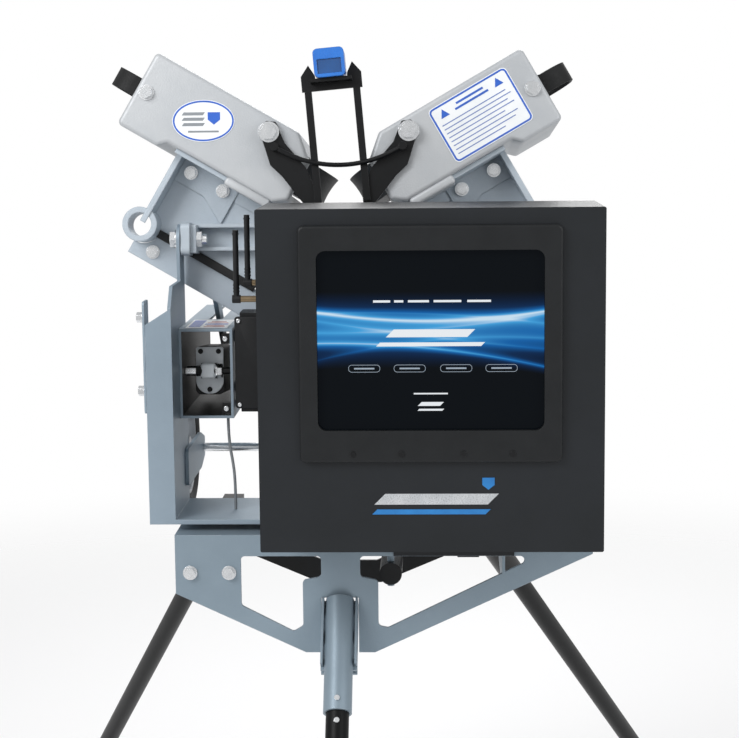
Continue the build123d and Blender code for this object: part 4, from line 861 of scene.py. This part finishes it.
title = [on_page(plate(width, 0.0034, ink_thickness), x, 0.060)
         for x, width in ((-0.074, 0.026), (-0.048, 0.014), (-0.018, 0.032), (0.026, 0.042), (0.074, 0.036))]
title.append(on_page(slanted_bar(0.124, 0.012, ink_thickness, stripe_lean), 0.000, 0.011))
title.append(on_page(slanted_bar(0.160, 0.006, ink_thickness, stripe_lean), 0.000, -0.006))
title.append(on_page(plate(0.052, 0.0022, ink_thickness), 0.0, -0.082))
title.append(on_page(slanted_bar(0.034, 0.006, ink_thickness, stripe_lean), 0.0, -0.098))
title.append(on_page(slanted_bar(0.038, 0.003, ink_thickness, stripe_lean), 0.0, -0.107))
shape_to_piece(join(title), "page_title", page_white, "base")
outlines = []
for x in (-0.1015, -0.032, 0.039, 0.108):
    outlines.append(on_page(border(0.0486, 0.0116, 0.0007, ink_thickness, 0.0052), x, -0.043))
    outlines.append(on_page(plate(0.031, 0.0024, ink_thickness), x, -0.043))
shape_to_piece(join(outlines), "page_buttons", page_pale, "base")


# ---- Back of the cabinet -------------------------------------------------------------------------
# The cabinet's back panel is held by eight screws and has two rows of louvres for the display's heat.
panel_y = box_high.y
louvres = []
louvre_rows, louvre_pitch, louvre_top = 9, 0.017, 1.335
for bank_x in (box_middle - 0.175, box_middle + 0.185):
    for row in range(louvre_rows):
        louvre_z = louvre_top - row * louvre_pitch
        seat = frame_of((bank_x, panel_y + face_gap, louvre_z), (-1, 0, 0), (0, 1, 0))
        louvres.append(put(plate(0.090, 0.007, 0.004, corner=0.003, edge=0.0016), seat))
shape_to_piece(join(louvres), "back_louvres", box_coat, "base")
back_screws = []
screw_margin = 0.020
box_mid_height = (box_low.z + box_high.z) / 2
for x in (box_low.x + screw_margin, box_middle, box_high.x - screw_margin):
    for z in (box_low.z + screw_margin, box_mid_height, box_high.z - screw_margin):
        if (x, z) == (box_middle, box_mid_height):
            continue
        seat = frame_of((x, panel_y + face_gap, z), (-1, 0, 0), (0, 1, 0))
        back_screws.append(put(cap_screw(0.0055, 0.003), seat))
shape_to_piece(join(back_screws), "back_screws", motor_coat, "base")


# ---- Mains inlet and rocker ----------------------------------------------------------------------
# A panel inlet with three flat pins and a black rocker switch, on the cabinet's right wall.
dress(dark_plastic, "power_inlet", "power_rocker")
inlet_low, inlet_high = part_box("power_inlet")
inlet_face = frame_of((inlet_low.x + 0.006, (inlet_low.y + inlet_high.y) / 2, 0.945), (0, 1, 0), (1, 0, 0))
pins = []
for x, y in ((-0.0055, -0.002), (0.0055, -0.002), (0.0, 0.0035)):
    pin_seat = inlet_face @ Matrix.Translation((x, y, 0))
    pins.append(put(plate(0.0018, 0.0045, 0.012, edge=0.0004), pin_seat))
brass = finish("brass", "C9A95C", "BD9C50", 0.3, metal=1.0, mottle=50.0, grain=900.0, grain_height=0.05)
shape_to_piece(join(pins), "inlet_pins", brass, "base")


# ---- Antennas ------------------------------------------------------------------------------------
# Two folding radio antennas in soft black plastic on brass-toned swivel stubs.
dress(dark_plastic, "front_antenna", "rear_antenna")
stub_metal = finish("stub_metal", "8C7B62", "7F6F58", 0.34, metal=0.9, mottle=50.0, grain=900.0,
                    grain_height=0.06)
dress(stub_metal, "antenna_stubs")
for antenna_name in ("front", "rear"):
    pivot = Vector(joints[f"{antenna_name}_antenna_turn"]["pos_m"])
    rings = []
    for rise in (0.012, 0.017, 0.022, 0.102):
        rings.append(put(disc(0.0053, 0.0025, 24), Matrix.Translation(pivot + Vector((0, 0, rise)))))
    shape_to_piece(join(rings), f"{antenna_name}_antenna_rings", dark_plastic, f"antenna_{antenna_name}")
